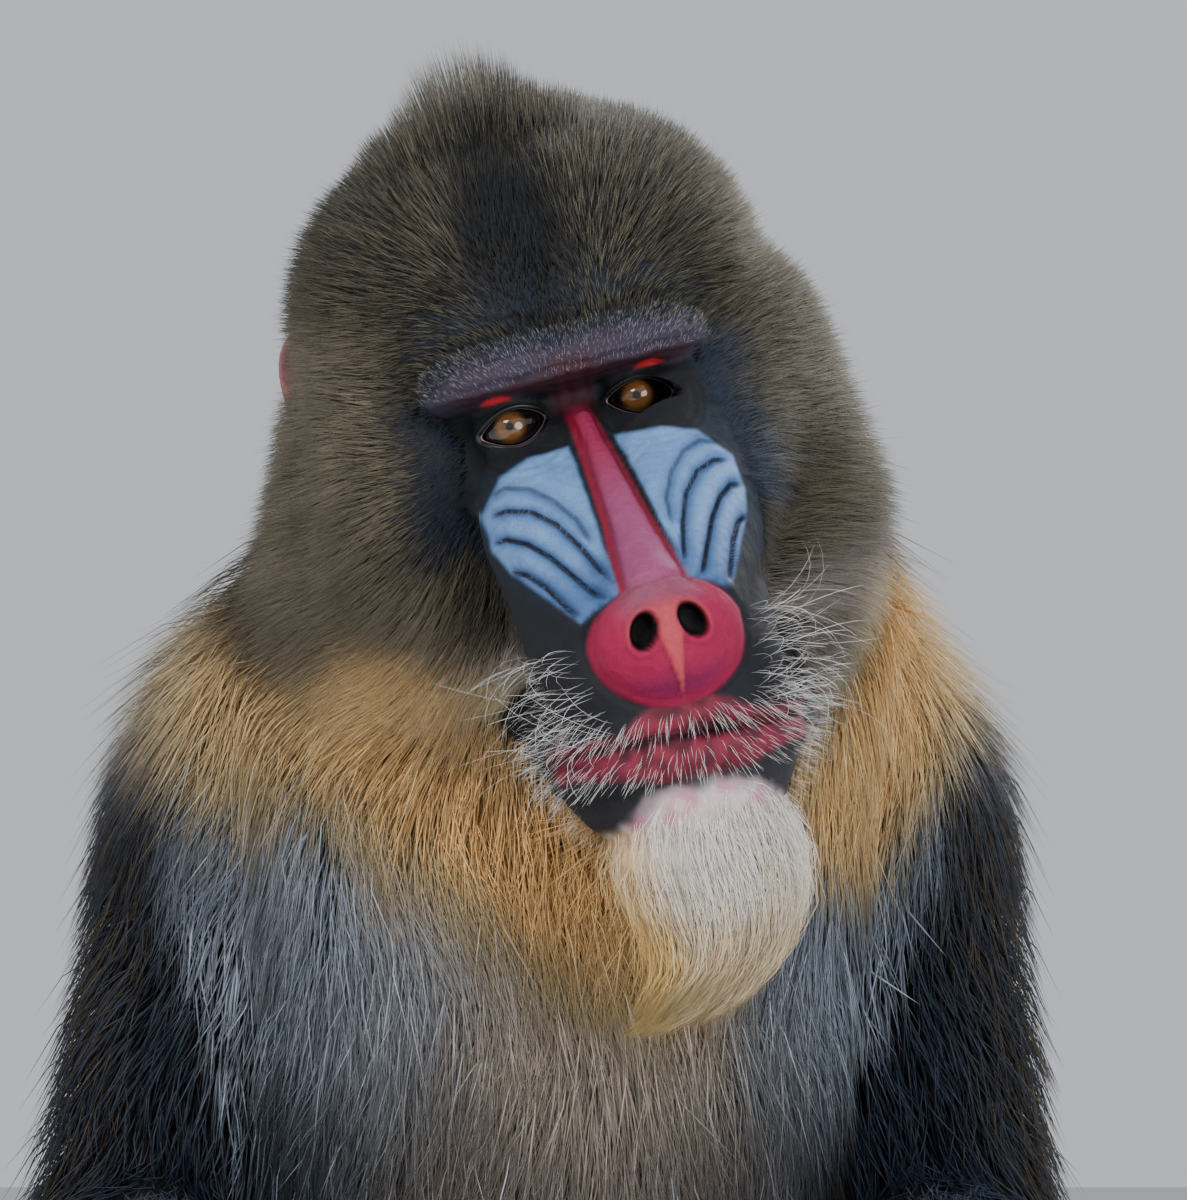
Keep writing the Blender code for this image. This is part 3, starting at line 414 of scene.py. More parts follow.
def makePaws(nails):
    """Skins of both hands and both feet."""
    made = []
    for side, sign in sides.items():
        arm, forearm, thigh, shin = limbsOf(side)
        place = handFrame(sign)
        inner = -sign if place.col[0].x > 0 else sign
        beads = []
        addBeads(beads, forearm[2:], bodyFrame, -0.0004)
        addBeads(beads, hands["palm"], place, 0.0012, 0.3)
        for across, length in hands["fingers"]:
            addDigit(beads, nails, place, across, hands["knuckles"], length, hands["fingerRadius"], hands["curl"])
        addBeads(beads, flip(hands["thumb"], inner), place)
        made.append(fuse("handSkin", beads, hands["voxel"], 3))
        place = footFrame(sign)
        inner = -sign if place.col[0].x > 0 else sign
        beads = []
        addBeads(beads, shin[2:], bodyFrame, -0.0004)
        addBeads(beads, hands["sole"], place, 0.0012, 0.3)
        for across, length in hands["toes"]:
            addDigit(beads, nails, place, across, hands["toeStart"], length, hands["toeRadius"], hands["toeCurl"], hands["toeHeight"])
        addBeads(beads, flip(hands["bigToe"], inner), place)
        made.append(fuse("footSkin", beads, hands["voxel"], 3))
    return made


# ---- the head ----

head = {
    "skull": ((18, 71, 38, 61, 66, 63), (0, 71, 38, 46, 54, 64), (0, 42, -6, 52, 38, 38), (0, 56, -52, 50, 50, 48)),
    "cheek": ((43, 64, 14, 37, 46, 47), (48, 58, -18, 38, 42, 44), (46, 54, -52, 38, 38, 42), (35, 50, -86, 35, 37, 36)),
    "muzzle": ((0, 12, -30, 38, 30, 32), (0, -18, -52, 41, 30, 34), (0, -44, -74, 42, 28, 34), (0, -62, -92, 39, 27, 26)),
    "jaw": ((0, 26, -98, 44, 30, 30), (0, -12, -112, 42, 28, 28), (0, -42, -124, 38, 26, 25), (0, -56, -128, 31, 22, 20)),
    "bridge": ((0, -7, -4, 4.5), (0, -32, -22, 5.8), (0, -58, -43, 7.5), (0, -82, -62, 11.0)),
    "disc": (0.5, -84, -78, 25.0, 15, 21.0),
    "brow": ((0, -5.5, 17, 6.6), (22, -7.5, 18, 6.9), (37, -3, 16.5, 5.8), (46, 5, 14, 3.6)),
    "browBase": ((0, 5, 19, 11), (22, 4, 20, 11), (40, 9, 17, 9.5)),
    "swelling": ((22, 2, -23, 18.0), (24, -18, -36, 20.0), (22.5, -40, -54, 18.5), (19, -62, -70, 13.0)),
    "upperLip": ((0, -84, -104, 5.6), (22, -78, -104, 5.6), (36, -61, -107, 5.0), (42, -41, -110, 3.6)),
    "lowerLip": ((0, -80, -117, 6.8), (22, -73, -117.5, 6.6), (35, -57, -119, 5.4), (41, -39, -119, 3.6)),
    "ruff": ((54, 68, 4, 36, 44, 44), (59, 62, -30, 36, 40, 42), (54, 56, -62, 36, 38, 40)),  # the fuller left cheek
    "beard": ((2, -44, -138, 29, 21, 13), (2, -40, -156, 25, 18, 16), (-1, -36, -174, 19, 13, 14), (-7, -34, -189, 11, 8, 9)),
    "lid": 13.2, "lidOpening": (12.2, 6.7), "ear": (77, 88, 30, 13, 7, 19), "earTurn": 54.0,
    "voxel": 0.0020, "faceDepth": 8, "faceLow": -145, "backTriangles": 10000,
}

face = {
    # furrows across each swelling, seen from the front, from the outer end towards the nose
    "furrows": (((40, -21), (33, -18.5), (26, -20.5), (19.5, -26), (14.5, -34), (12.5, -44)),
                ((41, -27), (35, -26), (28, -28), (21.5, -34), (16.5, -43), (13.5, -51), (11.5, -57)),
                ((43, -36), (38, -35), (32.5, -38), (27, -44), (22.5, -51), (18, -58), (14.5, -62)),
                ((40.5, -45.5), (36, -47.5), (31.5, -53), (28.5, -59), (25, -65))),
    # how deep each furrow is sunk, and how strong the painted shade along it
    "furrowDepth": (1.0, 1.7, 2.2, 2.0), "furrowDark": (0.6, 1.0, 1.0, 1.0),
    "swelling": ((8, -10.5), (22, -11), (33, -15), (42, -26), (42.5, -38), (39.7, -46), (25, -67), (10.4, -59)),
    "bridge": ((2.6, 2), (3, -4), (6, -39), (8, -50), (10, -60), (12, -66)),  # half width at each height
    "discCentre": (0.5, -79), "discSize": (25.2, 20.6),
    "nostril": (8.2, -73.5), "nostrilSize": (4.4, 6.4), "nostrilLean": 24.0,
    "septum": (5.6, -67.5, -98.0),
    "mouthLine": -110.0, "mouthTilt": -0.05, "mouthHalf": 44.0, "slit": (4.0, 11.0),
    "bare": ((0, 25), (22, 26), (36, 23), (43, 16), (43, 8), (39, 2), (39, -8), (44, -20), (45, -45), (46, -62), (47, -84),
             (46.5, -108), (43, -124), (32, -138), (0, -142)),
    "swellingDepth": (2, 1.36, 15, 9),  # y at z -23, its slope, and how far behind that the blue ends
}


# depth of the furrows, the strength of the painted shade along the nearest one, and the distance to it
def furrowFields(x, z):
    flat = np.column_stack([np.abs(x), z])
    depth, dark, near = np.zeros(len(x)), np.zeros(len(x)), np.full(len(x), 1e9)
    for path, deep, strength in zip(face["furrows"], face["furrowDepth"], face["furrowDark"]):
        away, t = toPath(flat, path)
        fade = step(0, 0.10, t) * step(1.0, 0.86, t)
        depth = np.maximum(depth, deep * fade * np.exp(-(away / 0.95) ** 2))
        dark = np.where(away < near, strength * fade, dark)
        near = np.minimum(near, away)
    return depth, dark, near


def swellingField(x, y, z):  # signed distance to the blue swelling's edge, cut off on the muzzle's sides
    middle, slope, out, inner = face["swellingDepth"]
    away = inOutline(np.column_stack([np.abs(x), z]), face["swelling"])
    return np.where(y - middle + slope * (-23 - z) > 0.5 * (out + inner), -3, away)


def bridgeHalf(z):
    half, height = zip(*face["bridge"])
    return np.interp(-z, [-h for h in height], half)


def mouthHeight(x):
    return face["mouthLine"] + face["mouthTilt"] * x - 1.5 * (np.abs(x) / 45) ** 2


def nostrilField(x, z):
    """1 on a nostril's rim, less inside."""
    cx, cz = face["nostril"]
    turn = math.radians(face["nostrilLean"])
    dx, dz = np.abs(x) - cx, z - cz
    across, up = dx * math.cos(turn) + dz * math.sin(turn), -dx * math.sin(turn) + dz * math.cos(turn)
    return np.hypot(across / face["nostrilSize"][0], up / face["nostrilSize"][1])


def discField(x, z):
    return np.hypot((x - face["discCentre"][0]) / face["discSize"][0], (z - face["discCentre"][1]) / face["discSize"][1])


def septumField(x, z):
    half, top, low = face["septum"]
    share = np.clip((z - low) / (top - low), 0, 1)
    width = np.maximum(half * share ** 1.1, 0.5)
    return step(1.25, 0.75, np.abs(x) / width) * step(low - 1, low + 3, z) * step(top + 6, top - 2, z)


def makeHeadSkin():
    beads = []
    for sign in sides.values():
        for form in flip(head["skull"], sign):
            addBeads(beads, [form], headFrame)
    for part in ("muzzle", "jaw", "bridge"):
        addBeads(beads, head[part], headFrame, 0, 0.22)
    addBeads(beads, [head["disc"], *head["ruff"], *head["beard"]], headFrame)
    neck = [(0, y, z, w, d, h) for y, z, w, d, h in body["trunk"][6:]]
    addBeads(beads, neck, bodyFrame, -0.002, 0.3)
    for sign in sides.values():
        for part in ("cheek", "brow", "browBase", "swelling", "upperLip", "lowerLip"):
            addBeads(beads, flip(head[part], sign), headFrame, 0, 0.25)
        x, y, z = pose["eyeBall"]
        addBeads(beads, [(x * sign, y, z, head["lid"])], headFrame)
    made = thinBack(fuse("headSkin", beads, head["voxel"], 5))
    refineFace(made)
    return openLids(made)


def thinBack(made):  # the back of the head lies under its coat, so it keeps few triangles
    local = toHead(np.array([v.co for v in made.data.vertices]))
    back = (local[:, 1] > 24) | (local[:, 2] < head["faceLow"] - 4) | (local[:, 2] > 46)
    made.vertex_groups.new(name="back").add(np.flatnonzero(back).tolist(), 1.0, "REPLACE")
    return thinned(made, 2 * (len(back) - back.sum()) + head["backTriangles"], "back")


def refineFace(made):  # twice as fine a mesh on the bare front of the head
    bm = bmesh.new()
    bm.from_mesh(made.data)
    bm.normal_update()
    local = toHead(np.array([v.co for v in bm.verts]))
    normals = np.array([v.normal for v in bm.verts]) @ headAxes
    chosen = (local[:, 1] < head["faceDepth"]) & (local[:, 2] < 29) & (local[:, 2] > -131) & (np.abs(local[:, 0]) < 53)
    chosen &= (normals[:, 2] > -0.75) | (local[:, 2] > -60)
    edges = [e for e in bm.edges if chosen[e.verts[0].index] and chosen[e.verts[1].index]]
    bmesh.ops.subdivide_edges(bm, edges=edges, cuts=1, use_grid_fill=True)
    local = toHead(np.array([v.co for v in bm.verts]))
    inner = [v for v, p in zip(bm.verts, local) if p[1] < head["faceDepth"] - 3 and -129 < p[2] < 28]
    for _ in range(2):
        bmesh.ops.smooth_vert(bm, verts=inner, factor=0.5, use_axis_x=True, use_axis_y=True, use_axis_z=True)
    bm.to_mesh(made.data)
    bm.free()


def openLids(made):
    """Cuts the eye sockets and an almond-shaped opening in front of each."""
    cutters = []
    for sign in sides.values():
        x, y, z = pose["eyeBall"]
        bm = bmesh.new()
        place = headFrame @ Matrix.Translation((x * sign, y, z))
        bmesh.ops.create_icosphere(bm, subdivisions=4, radius=pose["eyeRadius"] + 0.5, matrix=place)
        cutters.append(linked("socket", bm))
        bm = bmesh.new()
        outline = [bm.verts.new((p.x, -2, p.y)) for p in lidOutline(40)]
        pushed = bmesh.ops.extrude_face_region(bm, geom=[bm.faces.new(outline)])
        front = [v for v in pushed["geom"] if isinstance(v, bmesh.types.BMVert)]
        bmesh.ops.translate(bm, verts=front, vec=(0, -24, 0))
        bmesh.ops.recalc_face_normals(bm, faces=bm.faces)
        bmesh.ops.transform(bm, verts=bm.verts, matrix=place @ turned(5 * sign, "Y"))
        cutters.append(linked("lidOpening", bm))
    group = bpy.data.collections.new("cutters")
    for cutter in cutters:
        group.objects.link(cutter)
    cut = made.modifiers.new("Lids", "BOOLEAN")
    cut.operation, cut.solver, cut.operand_type, cut.collection = "DIFFERENCE", "MANIFOLD", "COLLECTION", group
    applied(made)
    for cutter in cutters:
        bpy.data.objects.remove(cutter)
    bpy.data.collections.remove(group)
    return made


def lidOutline(count):
    """The opening between the lids, flat, in millimetres: x across and y up."""
    wide, high = head["lidOpening"]
    turns = [2 * math.pi * i / count for i in range(count)]
    return [Vector((math.cos(t) * wide, math.sin(t) * high * (1 - 0.35 * math.cos(t) ** 2))) for t in turns]


def linked(name, bm):
    mesh = bpy.data.meshes.new(name)
    bm.to_mesh(mesh)
    bm.free()
    made = bpy.data.objects.new(name, mesh)
    bpy.context.scene.collection.objects.link(made)
    return made


def sculptFace(made):
    """Furrows, nostrils, mouth, folds and the septum, pressed into the front of the head."""
    places, normals, _ = readMesh(made.data)
    local = toHead(places)
    x, y, z = local.T
    front = step(18, 4, y) * step(0.1, -0.25, (normals @ headAxes)[:, 1])
    flat = np.column_stack([np.abs(x), z])
    depth, _, near = furrowFields(x, z)
    swell = step(-1.5, 2.5, swellingField(x, y, z))
    out = -depth * front
    out += swell * front * 0.9 * (1 - np.exp(-(near / 2.6) ** 2))
    gully = np.abs(np.abs(x) - bridgeHalf(z) - 1.4)
    out -= 1.3 * np.exp(-(gully / 1.3) ** 2) * step(-66, -56, z) * step(2, -8, z) * front
    disc = discField(x, z)
    out -= 1.1 * np.exp(-((disc - 1.06) / 0.05) ** 2) * front * step(-106, -94, z)
    out += 1.3 * septumField(x, z) * front
    line = mouthHeight(x)
    inMouth = step(face["mouthHalf"], face["mouthHalf"] - 5, np.abs(x)) * step(-26, -36, y)
    out -= 3.0 * np.exp(-((z - line) / 1.15) ** 2) * inMouth
    slitX, slitHalf = face["slit"]
    gape = step(1.0, 0.4, np.abs(x - slitX) / slitHalf)
    out -= 3.0 * np.exp(-((z - line) / 1.9) ** 2) * inMouth * gape
    away = np.hypot(np.abs(x) - pose["eyeBall"][0], z)
    for ring, deep in ((15.0, 0.55), (17.6, 0.45), (20.4, 0.30)):
        out -= deep * np.exp(-((away - ring + 0.8 * np.sin(3 * np.arctan2(z, np.abs(x) - 22))) / 0.7) ** 2) * step(4, -3, z) * front
    folds = np.sin(z * 1.5 + 1.6 * grain(places, 0.010, 8)) * step(9, 13, z) * step(27, 23, z) * step(50, 44, np.abs(x))
    frown = np.sin(x * 1.1 + 2.5 * grain(places, 0.008, 12)) * step(12, 4, np.abs(x)) * step(0, 5, z) * step(22, 14, z)
    out += (0.40 * folds + 0.45 * frown) * front
    fine = grain(places, 0.0026, 3) * 0.16 + grain(places, 0.007, 4) * 0.32
    out += fine * front * step(26, 10, y)
    places += normals * (out * mm)[:, None]
    hole = nostrilField(x, z)
    sunk = (step(1.12, 0.66, hole) * 8.5 - 0.7 * np.exp(-((hole - 1.25) / 0.16) ** 2)) * step(-40, -60, y)
    places += np.outer(sunk * mm, headAxes[:, 1])
    made.data.vertices.foreach_set("co", places.astype(np.float32).ravel())
    made.data.update()


def makeEar(sign):
    """A rounded cup with a rolled rim."""
    x, y, z, wide, thick, tall = head["ear"]
    place = headFrame @ Matrix.Translation((x * sign, y, z)) @ turned(head["earTurn"] * sign, "Z")
    beads = []
    addBeads(beads, [(0, 0, 0, wide, thick, tall)], place)
    addBeads(beads, [(-7 * sign, 3, -8, 11, 9, 15)], place)
    made = fuse("earSkin", beads, 0.0013, 3)
    places, _, _ = readMesh(made.data)
    axes = np.array(place.to_3x3().normalized())
    local = (places - np.array(place.translation)) @ axes / mm
    bowl = np.hypot((local[:, 0] - 1.5 * sign) / (wide * 0.80), local[:, 2] / (tall * 0.80))
    ridge = 2.6 * np.exp(-((bowl - 0.55) / 0.10) ** 2) * step(-0.2, 0.4, local[:, 0] * -sign / wide + 0.4)
    sunk = (step(1.0, 0.62, bowl) * 9.0 - ridge) * step(0.5, -1.5, local[:, 1])
    places += np.outer(sunk * mm, axes[:, 1])
    made.data.vertices.foreach_set("co", places.astype(np.float32).ravel())
    return made


palette = {name: colourOf(code) for name, code in {
    "underFur": "#1d1a17", "ridge": "#6c93c6", "ridgeLow": "#41669a", "furrow": "#16181f", "speck": "#3a2a34",
    "bridge": "#93426b", "bridgeTop": "#8c2145", "bridgeEdge": "#850a2c", "disc": "#960f3f", "discLow": "#760d48",
    "septum": "#b5424d", "discTop": "#863f58", "lip": "#80253a", "lipDark": "#3d1622", "muzzle": "#10131b",
    "underLip": "#242329", "chin": "#d9c6c8", "chinPink": "#cb8299", "beard": "#f3e8d9", "beardGold": "#e8bb74", "eyeSkin": "#0a0d13", "cheekBlue": "#0c1826",
    "brow": "#332c3a", "browRed": "#3a1822", "redSliver": "#b81f2a", "shadeBlack": "#030304", "ear": "#9a6a6c", "paw": "#2a2426",
    "rump": "#8d79b4", "rumpPink": "#c8688a", "throat": "#3a3027",
}.items()}


def skinTint(places, normals, headPart):
    """Colour of the skin at each place: the face's markings with painted shade in the furrows, gullies, nostrils and
    mouth, dark skin under the coat, and the rump.
    """
    p = palette
    local = toHead(places)
    x, y, z = local.T
    ax = np.abs(x)
    flat = np.column_stack([ax, z])
    tint = np.tile(p["underFur"], (len(places), 1))
    drawn = places - np.array(shift)
    tailGap = np.hypot(drawn[:, 0] / 0.062, (drawn[:, 2] - 0.092) / 0.060)
    rump = step(1.15, 0.8, tailGap) * step(0.125, 0.140, drawn[:, 1])
    tint = mixed(tint, p["rump"], rump)
    tint = mixed(tint, p["rumpPink"], rump * step(0.45, 0.2, tailGap))
    low = step(0.075, 0.055, drawn[:, 2])
    tint = mixed(tint, p["paw"], np.maximum(low, step(-0.15, -0.17, drawn[:, 1]) * step(0.36, 0.33, drawn[:, 2])))
    front = headPart * step(24, 12, y)
    wobble = grain(places, 0.006, 9) * 1.2
    dark = mixed(tint, p["cheekBlue"], front * step(-95, -70, z + wobble) * step(60, 40, z))
    tint = mixed(dark, p["muzzle"], front * step(-52, -66, z + wobble))
    eyes = np.hypot((ax - 22) / 1.35, z + 1)
    tint = mixed(tint, p["eyeSkin"], front * step(17, 12.5, eyes))
    browLine, _ = toPath(flat, [(row[0], row[2]) for row in head["brow"]])
    brow = step(9.5, 5.0, browLine + wobble * 1.6 + 0.25 * np.maximum(ax - 34, 0)) * front
    tint = mixed(tint, p["brow"], brow)
    tint = mixed(tint, p["browRed"], brow * np.maximum(step(17, 11, z + wobble * 1.5) * step(46, 30, ax), step(16, 3, ax) * step(24, 13, z + wobble)))
    glabella = step(9, 5, ax + wobble) * step(-4, 2, z) * step(20, 12, z) * front
    tint = mixed(tint, p["browRed"], glabella)
    sliver = step(1.0, 0.5, np.hypot((ax - 26.5) / 6.2, (z - 10.4 + 0.03 * (ax - 26.5) ** 2) / 1.5)) * front
    tint = mixed(tint, p["redSliver"], sliver)
    # swellings
    inside = swellingField(x, y, z)
    swell = step(-0.9, 0.9, inside + wobble * 0.3) * front
    blue = mixed(np.tile(p["ridge"], (len(x), 1)), p["ridgeLow"], step(-40, -62, z) * 0.8 + 0.35 * (grain(places, 0.010, 5) + 0.3))
    _, furrow, near = furrowFields(x, z)
    # painted shade: the blue swelling darker beside each furrow
    blue = mixed(blue, p["ridgeLow"] * 0.7, np.exp(-(near / 2.7) ** 2) * 0.85 * furrow)
    frayed = step(-58, -66, z + grain(places, 0.003, 6) * 6 + ax * 0.12)
    tint = np.where(swell[:, None] > 0, mixed(tint, blue, swell * (1 - 0.8 * frayed)), tint)
    # bridge, with painted shade darkening the gullies beside it, much heavier on one side
    half = bridgeHalf(z)
    run = step(4, -2, z) * step(-70, -64, z) * front
    gully = run * step(half + 4.2, half + 2.4, ax) * step(-64, -40, z)
    # painted shade: black in the gullies, far darker on one side
    tint = mixed(tint, p["shadeBlack"], gully * np.where(x > 0, 0.92, 0.25))
    tint = mixed(tint, p["bridgeEdge"], run * step(half + 2.6, half + 0.9, ax) * np.where(x > 0, 0.75, 1))
    middle = mixed(np.tile(p["bridgeTop"], (len(x), 1)), p["bridge"], step(-8, -38, z))
    for k in range(3):
        tint[:, k] = tint[:, k] * (1 - run * step(half + 0.6, half - 1.6, ax)) + middle[:, k] * run * step(half + 0.6, half - 1.6, ax)
    # nose disc
    disc = discField(x, z)
    red = mixed(np.tile(p["disc"], (len(x), 1)), p["discLow"], step(-84, -97, z) * step(0.98, 0.7, disc))
    red = mixed(red, p["discTop"], step(-72, -63, z) * step(20, 8, ax))
    red = mixed(red, p["septum"], septumField(x, z))
    hole = nostrilField(x, z)
    red = mixed(red, p["septum"] * 0.8, step(1.6, 1.15, hole) * step(-80, -72, z) * 0.7)
    # painted shade: black inside the sunk nostrils
    red = mixed(red, p["shadeBlack"], step(1.08, 0.9, hole))
    onDisc = step(1.05, 0.99, disc + wobble * 0.008) * front * step(-40, -55, y)
    for k in range(3):
        tint[:, k] = tint[:, k] * (1 - onDisc) + red[:, k] * onDisc
    # lips, the patch under them and the chin
    line = mouthHeight(x)
    up = z - line
    wide = step(face["mouthHalf"] + 1, face["mouthHalf"] - 4, ax) * step(-20, -32, y) * front
    lift = 3.2 + 7.5 * step(26, 8, ax)
    upper = wide * step(lift + 2.5, lift - 1, up + wobble) * step(-0.5, 0.5, up) * (1 - onDisc)
    deep = 14 - 6 * step(12, 38, ax)
    lower = wide * step(-1.5, 1.5, up + deep + wobble * 0.8) * step(0.5, -0.5, up)
    under = step(-6.5, -9, up + wobble * 0.5) * front * step(-225, -215, z) * np.maximum(step(-165, -145, z), step(2, -8, y))
    chinLine = -126.5 - 0.26 * np.maximum(ax - 6, 0) - 8 * step(16, 36, ax)
    tint = mixed(tint, p["underLip"], under)
    tint = mixed(tint, p["chin"], under * step(3, -5, z - chinLine + wobble * 3) * step(60, 20, y))
    tint = mixed(tint, p["chinPink"], under * step(2, -4, z - chinLine) * step(-0.1, 0.4, grain(places, 0.006, 14)) * 0.75)
    tint = mixed(tint, p["beard"], under * step(-136, -146, z + wobble))
    tint = mixed(tint, p["beardGold"], under * np.maximum(step(-168, -196, z), step(-14, -30, x) * step(-134, -144, z)) * 0.8)
    tint = mixed(tint, p["lip"], upper)
    tint = mixed(tint, p["lip"], lower)
    tint = mixed(tint, p["lipDark"], (upper + lower) * step(-0.3, 0.5, grain(places, 0.005, 15)) * 0.75)
    # painted shade: black along the mouth line, deepest where the lips part
    tint = mixed(tint, p["shadeBlack"], wide * step(1.7, 0.6, np.abs(up)) * (0.55 + 0.45 * step(1.2, 0.5, np.abs(x - face["slit"][0]) / face["slit"][1])))
    return tint


def skinLines(places, headPart):  # distance to the nearest groove, the strength of the painted shade along it, and where the skin shows its pores
    x, y, z = toHead(places).T
    _, strength, near = furrowFields(x, z)
    swell = step(-1.2, 1.2, swellingField(x, y, z))
    front = headPart * step(24, 12, y)
    bare = np.maximum(swell, step(3, 0, np.abs(x) - bridgeHalf(z)) * step(2, -4, z)) * step(-70, -62, z)
    frayed = step(-56, -66, z + np.abs(x) * 0.12)
    return np.column_stack([np.clip(near / 4, 0, 1), strength * swell * front * (1 - 0.6 * frayed), bare * front])


def thinned(made, keep, group=None):
    # fewer triangles, only where the group says if one is named
    fewer = made.modifiers.new("Decimate", "DECIMATE")
    fewer.ratio = min(1, keep / sum(len(f.vertices) - 2 for f in made.data.polygons))
    if group:
        fewer.vertex_group = group
    return applied(made)


def joinSkins(parts):
    bm = bmesh.new()
    for part in parts:
        bm.from_mesh(part.data)
    mesh = bpy.data.meshes.new("skin")
    bmesh.ops.triangulate(bm, faces=[f for f in bm.faces if len(f.verts) > 4])
    bm.to_mesh(mesh)
    bm.free()
    return mesh


print("skin: fusing the forms")
nailPlaces = []
headSkin = makeHeadSkin()
sculptFace(headSkin)
headCount = len(headSkin.data.vertices)
forms = [headSkin, makeBodySkin(), *makePaws(nailPlaces)]
guideMesh = joinSkins(forms)
forms = [headSkin, *(thinned(form, keep) for form, keep in zip(forms[1:], (18000, *[7000, 8000] * 2)))]
plainCount = sum(len(form.data.vertices) for form in forms)
forms += [thinned(makeEar(sign), 2400) for sign in sides.values()]
skinMesh = joinSkins(forms)
for form in forms:
    bpy.data.objects.remove(form)
skinPlaces, skinNormals, skinTriangles = readMesh(skinMesh)
skinPlaces[:, 2] = np.maximum(skinPlaces[:, 2], 0)  # palms and soles lie flat on the floor
skinMesh.vertices.foreach_set("co", skinPlaces.astype(np.float32).ravel())
headPart = (np.arange(len(skinPlaces)) < headCount).astype(float)
earPart = (np.arange(len(skinPlaces)) >= plainCount).astype(float)
tints = mixed(skinTint(skinPlaces, skinNormals, headPart), palette["ear"], earPart)
putTint(skinMesh, tints)
putTint(skinMesh, skinLines(skinPlaces, headPart), "lines")
skin = show("skin", skinMesh, "face_skin", skinMaterial())
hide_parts(*[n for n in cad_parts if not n.startswith("eye")])
print("skin:", len(skinTriangles), "triangles")


# The coat: tufts over a plain guide of the skin.
coat = {
    "sunk": 1.2, "swirl": (0.40, 0.22), "stray": 0.07,
    # of each coat piece: tufts a side, rings of a tuft, width in millimetres, how far tufts gather
    "pieces": {
        "headCoat": (45000, 1, 0.56, 0.05), "mantleCoat": (19500, 2, 0.85, 0.40), "backCoat": (12000, 2, 1.6, 0.5),
        "armCoat": (8000, 2, 1.2, 0.4), "legCoat": (7000, 2, 1.5, 0.4),
    },
    "depth": {"head": 10, "cheek": 16, "torso": 19, "arm": 17, "forearm": 12, "thigh": 13, "shin": 8, "tail": 9},
    "length": {"head": 11, "cheek": 21, "torso": 58, "arm": 36, "forearm": 27, "thigh": 36, "shin": 23, "tail": 20},
    "neck": ((0.40, 0.46, 0.50, 0.54, 0.60), (19, 17, 19, 28, 30), (58, 52, 50, 50, 46)),  # height, depth and length
    "crestCentre": -5, "crestHalf": (56, 20), "crestLow": (76, 94), "crestLong": (11, 26),
    "goldLeft": ((-0.104, 0.500), (-0.066, 0.498), (-0.0325, 0.474), (-0.006, 0.448), (0.012, 0.428), (0.030, 0.424)),
    "goldRight": ((0.1275, 0.534), (0.121, 0.508), (0.108, 0.482), (0.098, 0.464)),
    "goldHalf": (0.027, 0.015), "tanHalf": (0.040, 0.026), "armEdges": (0.125, 0.130), "armSlopes": (0.2, 0.45),  # where each colour fades out and where it is full
}

fur = {name: [colourOf(c) for c in codes] for name, codes in {
    # root, middle and tip
    "crown": ("#08080a", "#151516", "#25241f"), "crownTick": ("#0a0a0b", "#26231e", "#8c826a"),
    "patch": ("#020304", "#05080c", "#0d131c"), "temple": ("#14110d", "#3b3529", "#887a5c"),
    "paintedLitSide": ("#1d1a16", "#585045", "#b3a68c"), "besideEye": ("#040a14", "#0a182a", "#1c3450"), "gold": ("#cf9f60", "#eebd76", "#f6d098"),
    "goldPale": ("#d2ac72", "#f3cf94", "#fbe0b0"), "nape": ("#1f1b18", "#4e463f", "#8a7e73"),
    "tan": ("#665940", "#b09b76", "#d3c19c"), "beige": ("#6a5e54", "#b6a594", "#dacdc0"),
    "slate": ("#171c25", "#454e5d", "#848f9e"), "pale": ("#565e6a", "#aab4c3", "#dde3ea"),
    "breast": ("#3a322d", "#86796d", "#b9aba0"), "shoulder": ("#27221e", "#62584f", "#9b8e83"),
    # arm: dark blue-black painted as the shaded side of the arm; armEdge: its olive-brown outer side
    "arm": ("#05080d", "#121b2c", "#303e55"), "armEdge": ("#0e0c09", "#332b20", "#64573e"),
    "back": ("#0c0b09", "#2e271d", "#736648"), "belly": ("#26221e", "#6f665c", "#aaa196"),
    "leg": ("#090908", "#262119", "#5a503e"),
}.items()}


def boneField(drawn):  # nearest long bone: distance over its radius, its direction, its coat's depth and length
    ratio = np.full(len(drawn), 9.0)
    lie, sizes = np.zeros((len(drawn), 3)), np.zeros((len(drawn), 2))
    for side in sides:
        for kind, bone in zip(("arm", "forearm", "thigh", "shin"), limbsOf(side)):
            for a, b in zip(bone, bone[1:]):
                start, run = np.array(a[:3]), np.array(b[:3]) - np.array(a[:3])
                t = np.clip((drawn - start) @ run / (run @ run), 0, 1)
                gap = np.linalg.norm(drawn - start - t[:, None] * run, axis=1) / (a[3] + t * (b[3] - a[3]))
                nearer = gap < ratio
                ratio = np.where(nearer, gap, ratio)
                lie[nearer] = run / np.linalg.norm(run)
                sizes[nearer] = coat["depth"][kind], coat["length"][kind]
    return ratio, lie, sizes


def pawField(places):  # 1 on bare palms, soles and digits, and how short the hair is on the rest of the paws
    bare, short = np.zeros(len(places)), np.zeros(len(places))
    for sign in sides.values():
        for place, reach, under in ((handFrame(sign), 0.060, 0.002), (footFrame(sign), 0.098, 0.016)):
            axes = np.array(place.to_3x3())
            local = (places - np.array(place.translation)) @ axes
            near = (np.abs(local[:, 0]) < 0.055) & (local[:, 1] > -0.045) & (local[:, 1] < 0.20) & (np.abs(local[:, 2]) < 0.07)
            bare = np.maximum(bare, near * step(reach - 0.012, reach, local[:, 1]))
            bare = np.maximum(bare, near * step(under + 0.004, under - 0.004, local[:, 2]) * step(-0.01, 0.01, local[:, 1]))
            short = np.maximum(short, near * step(-0.030, 0.015, local[:, 1]))
    return bare, short


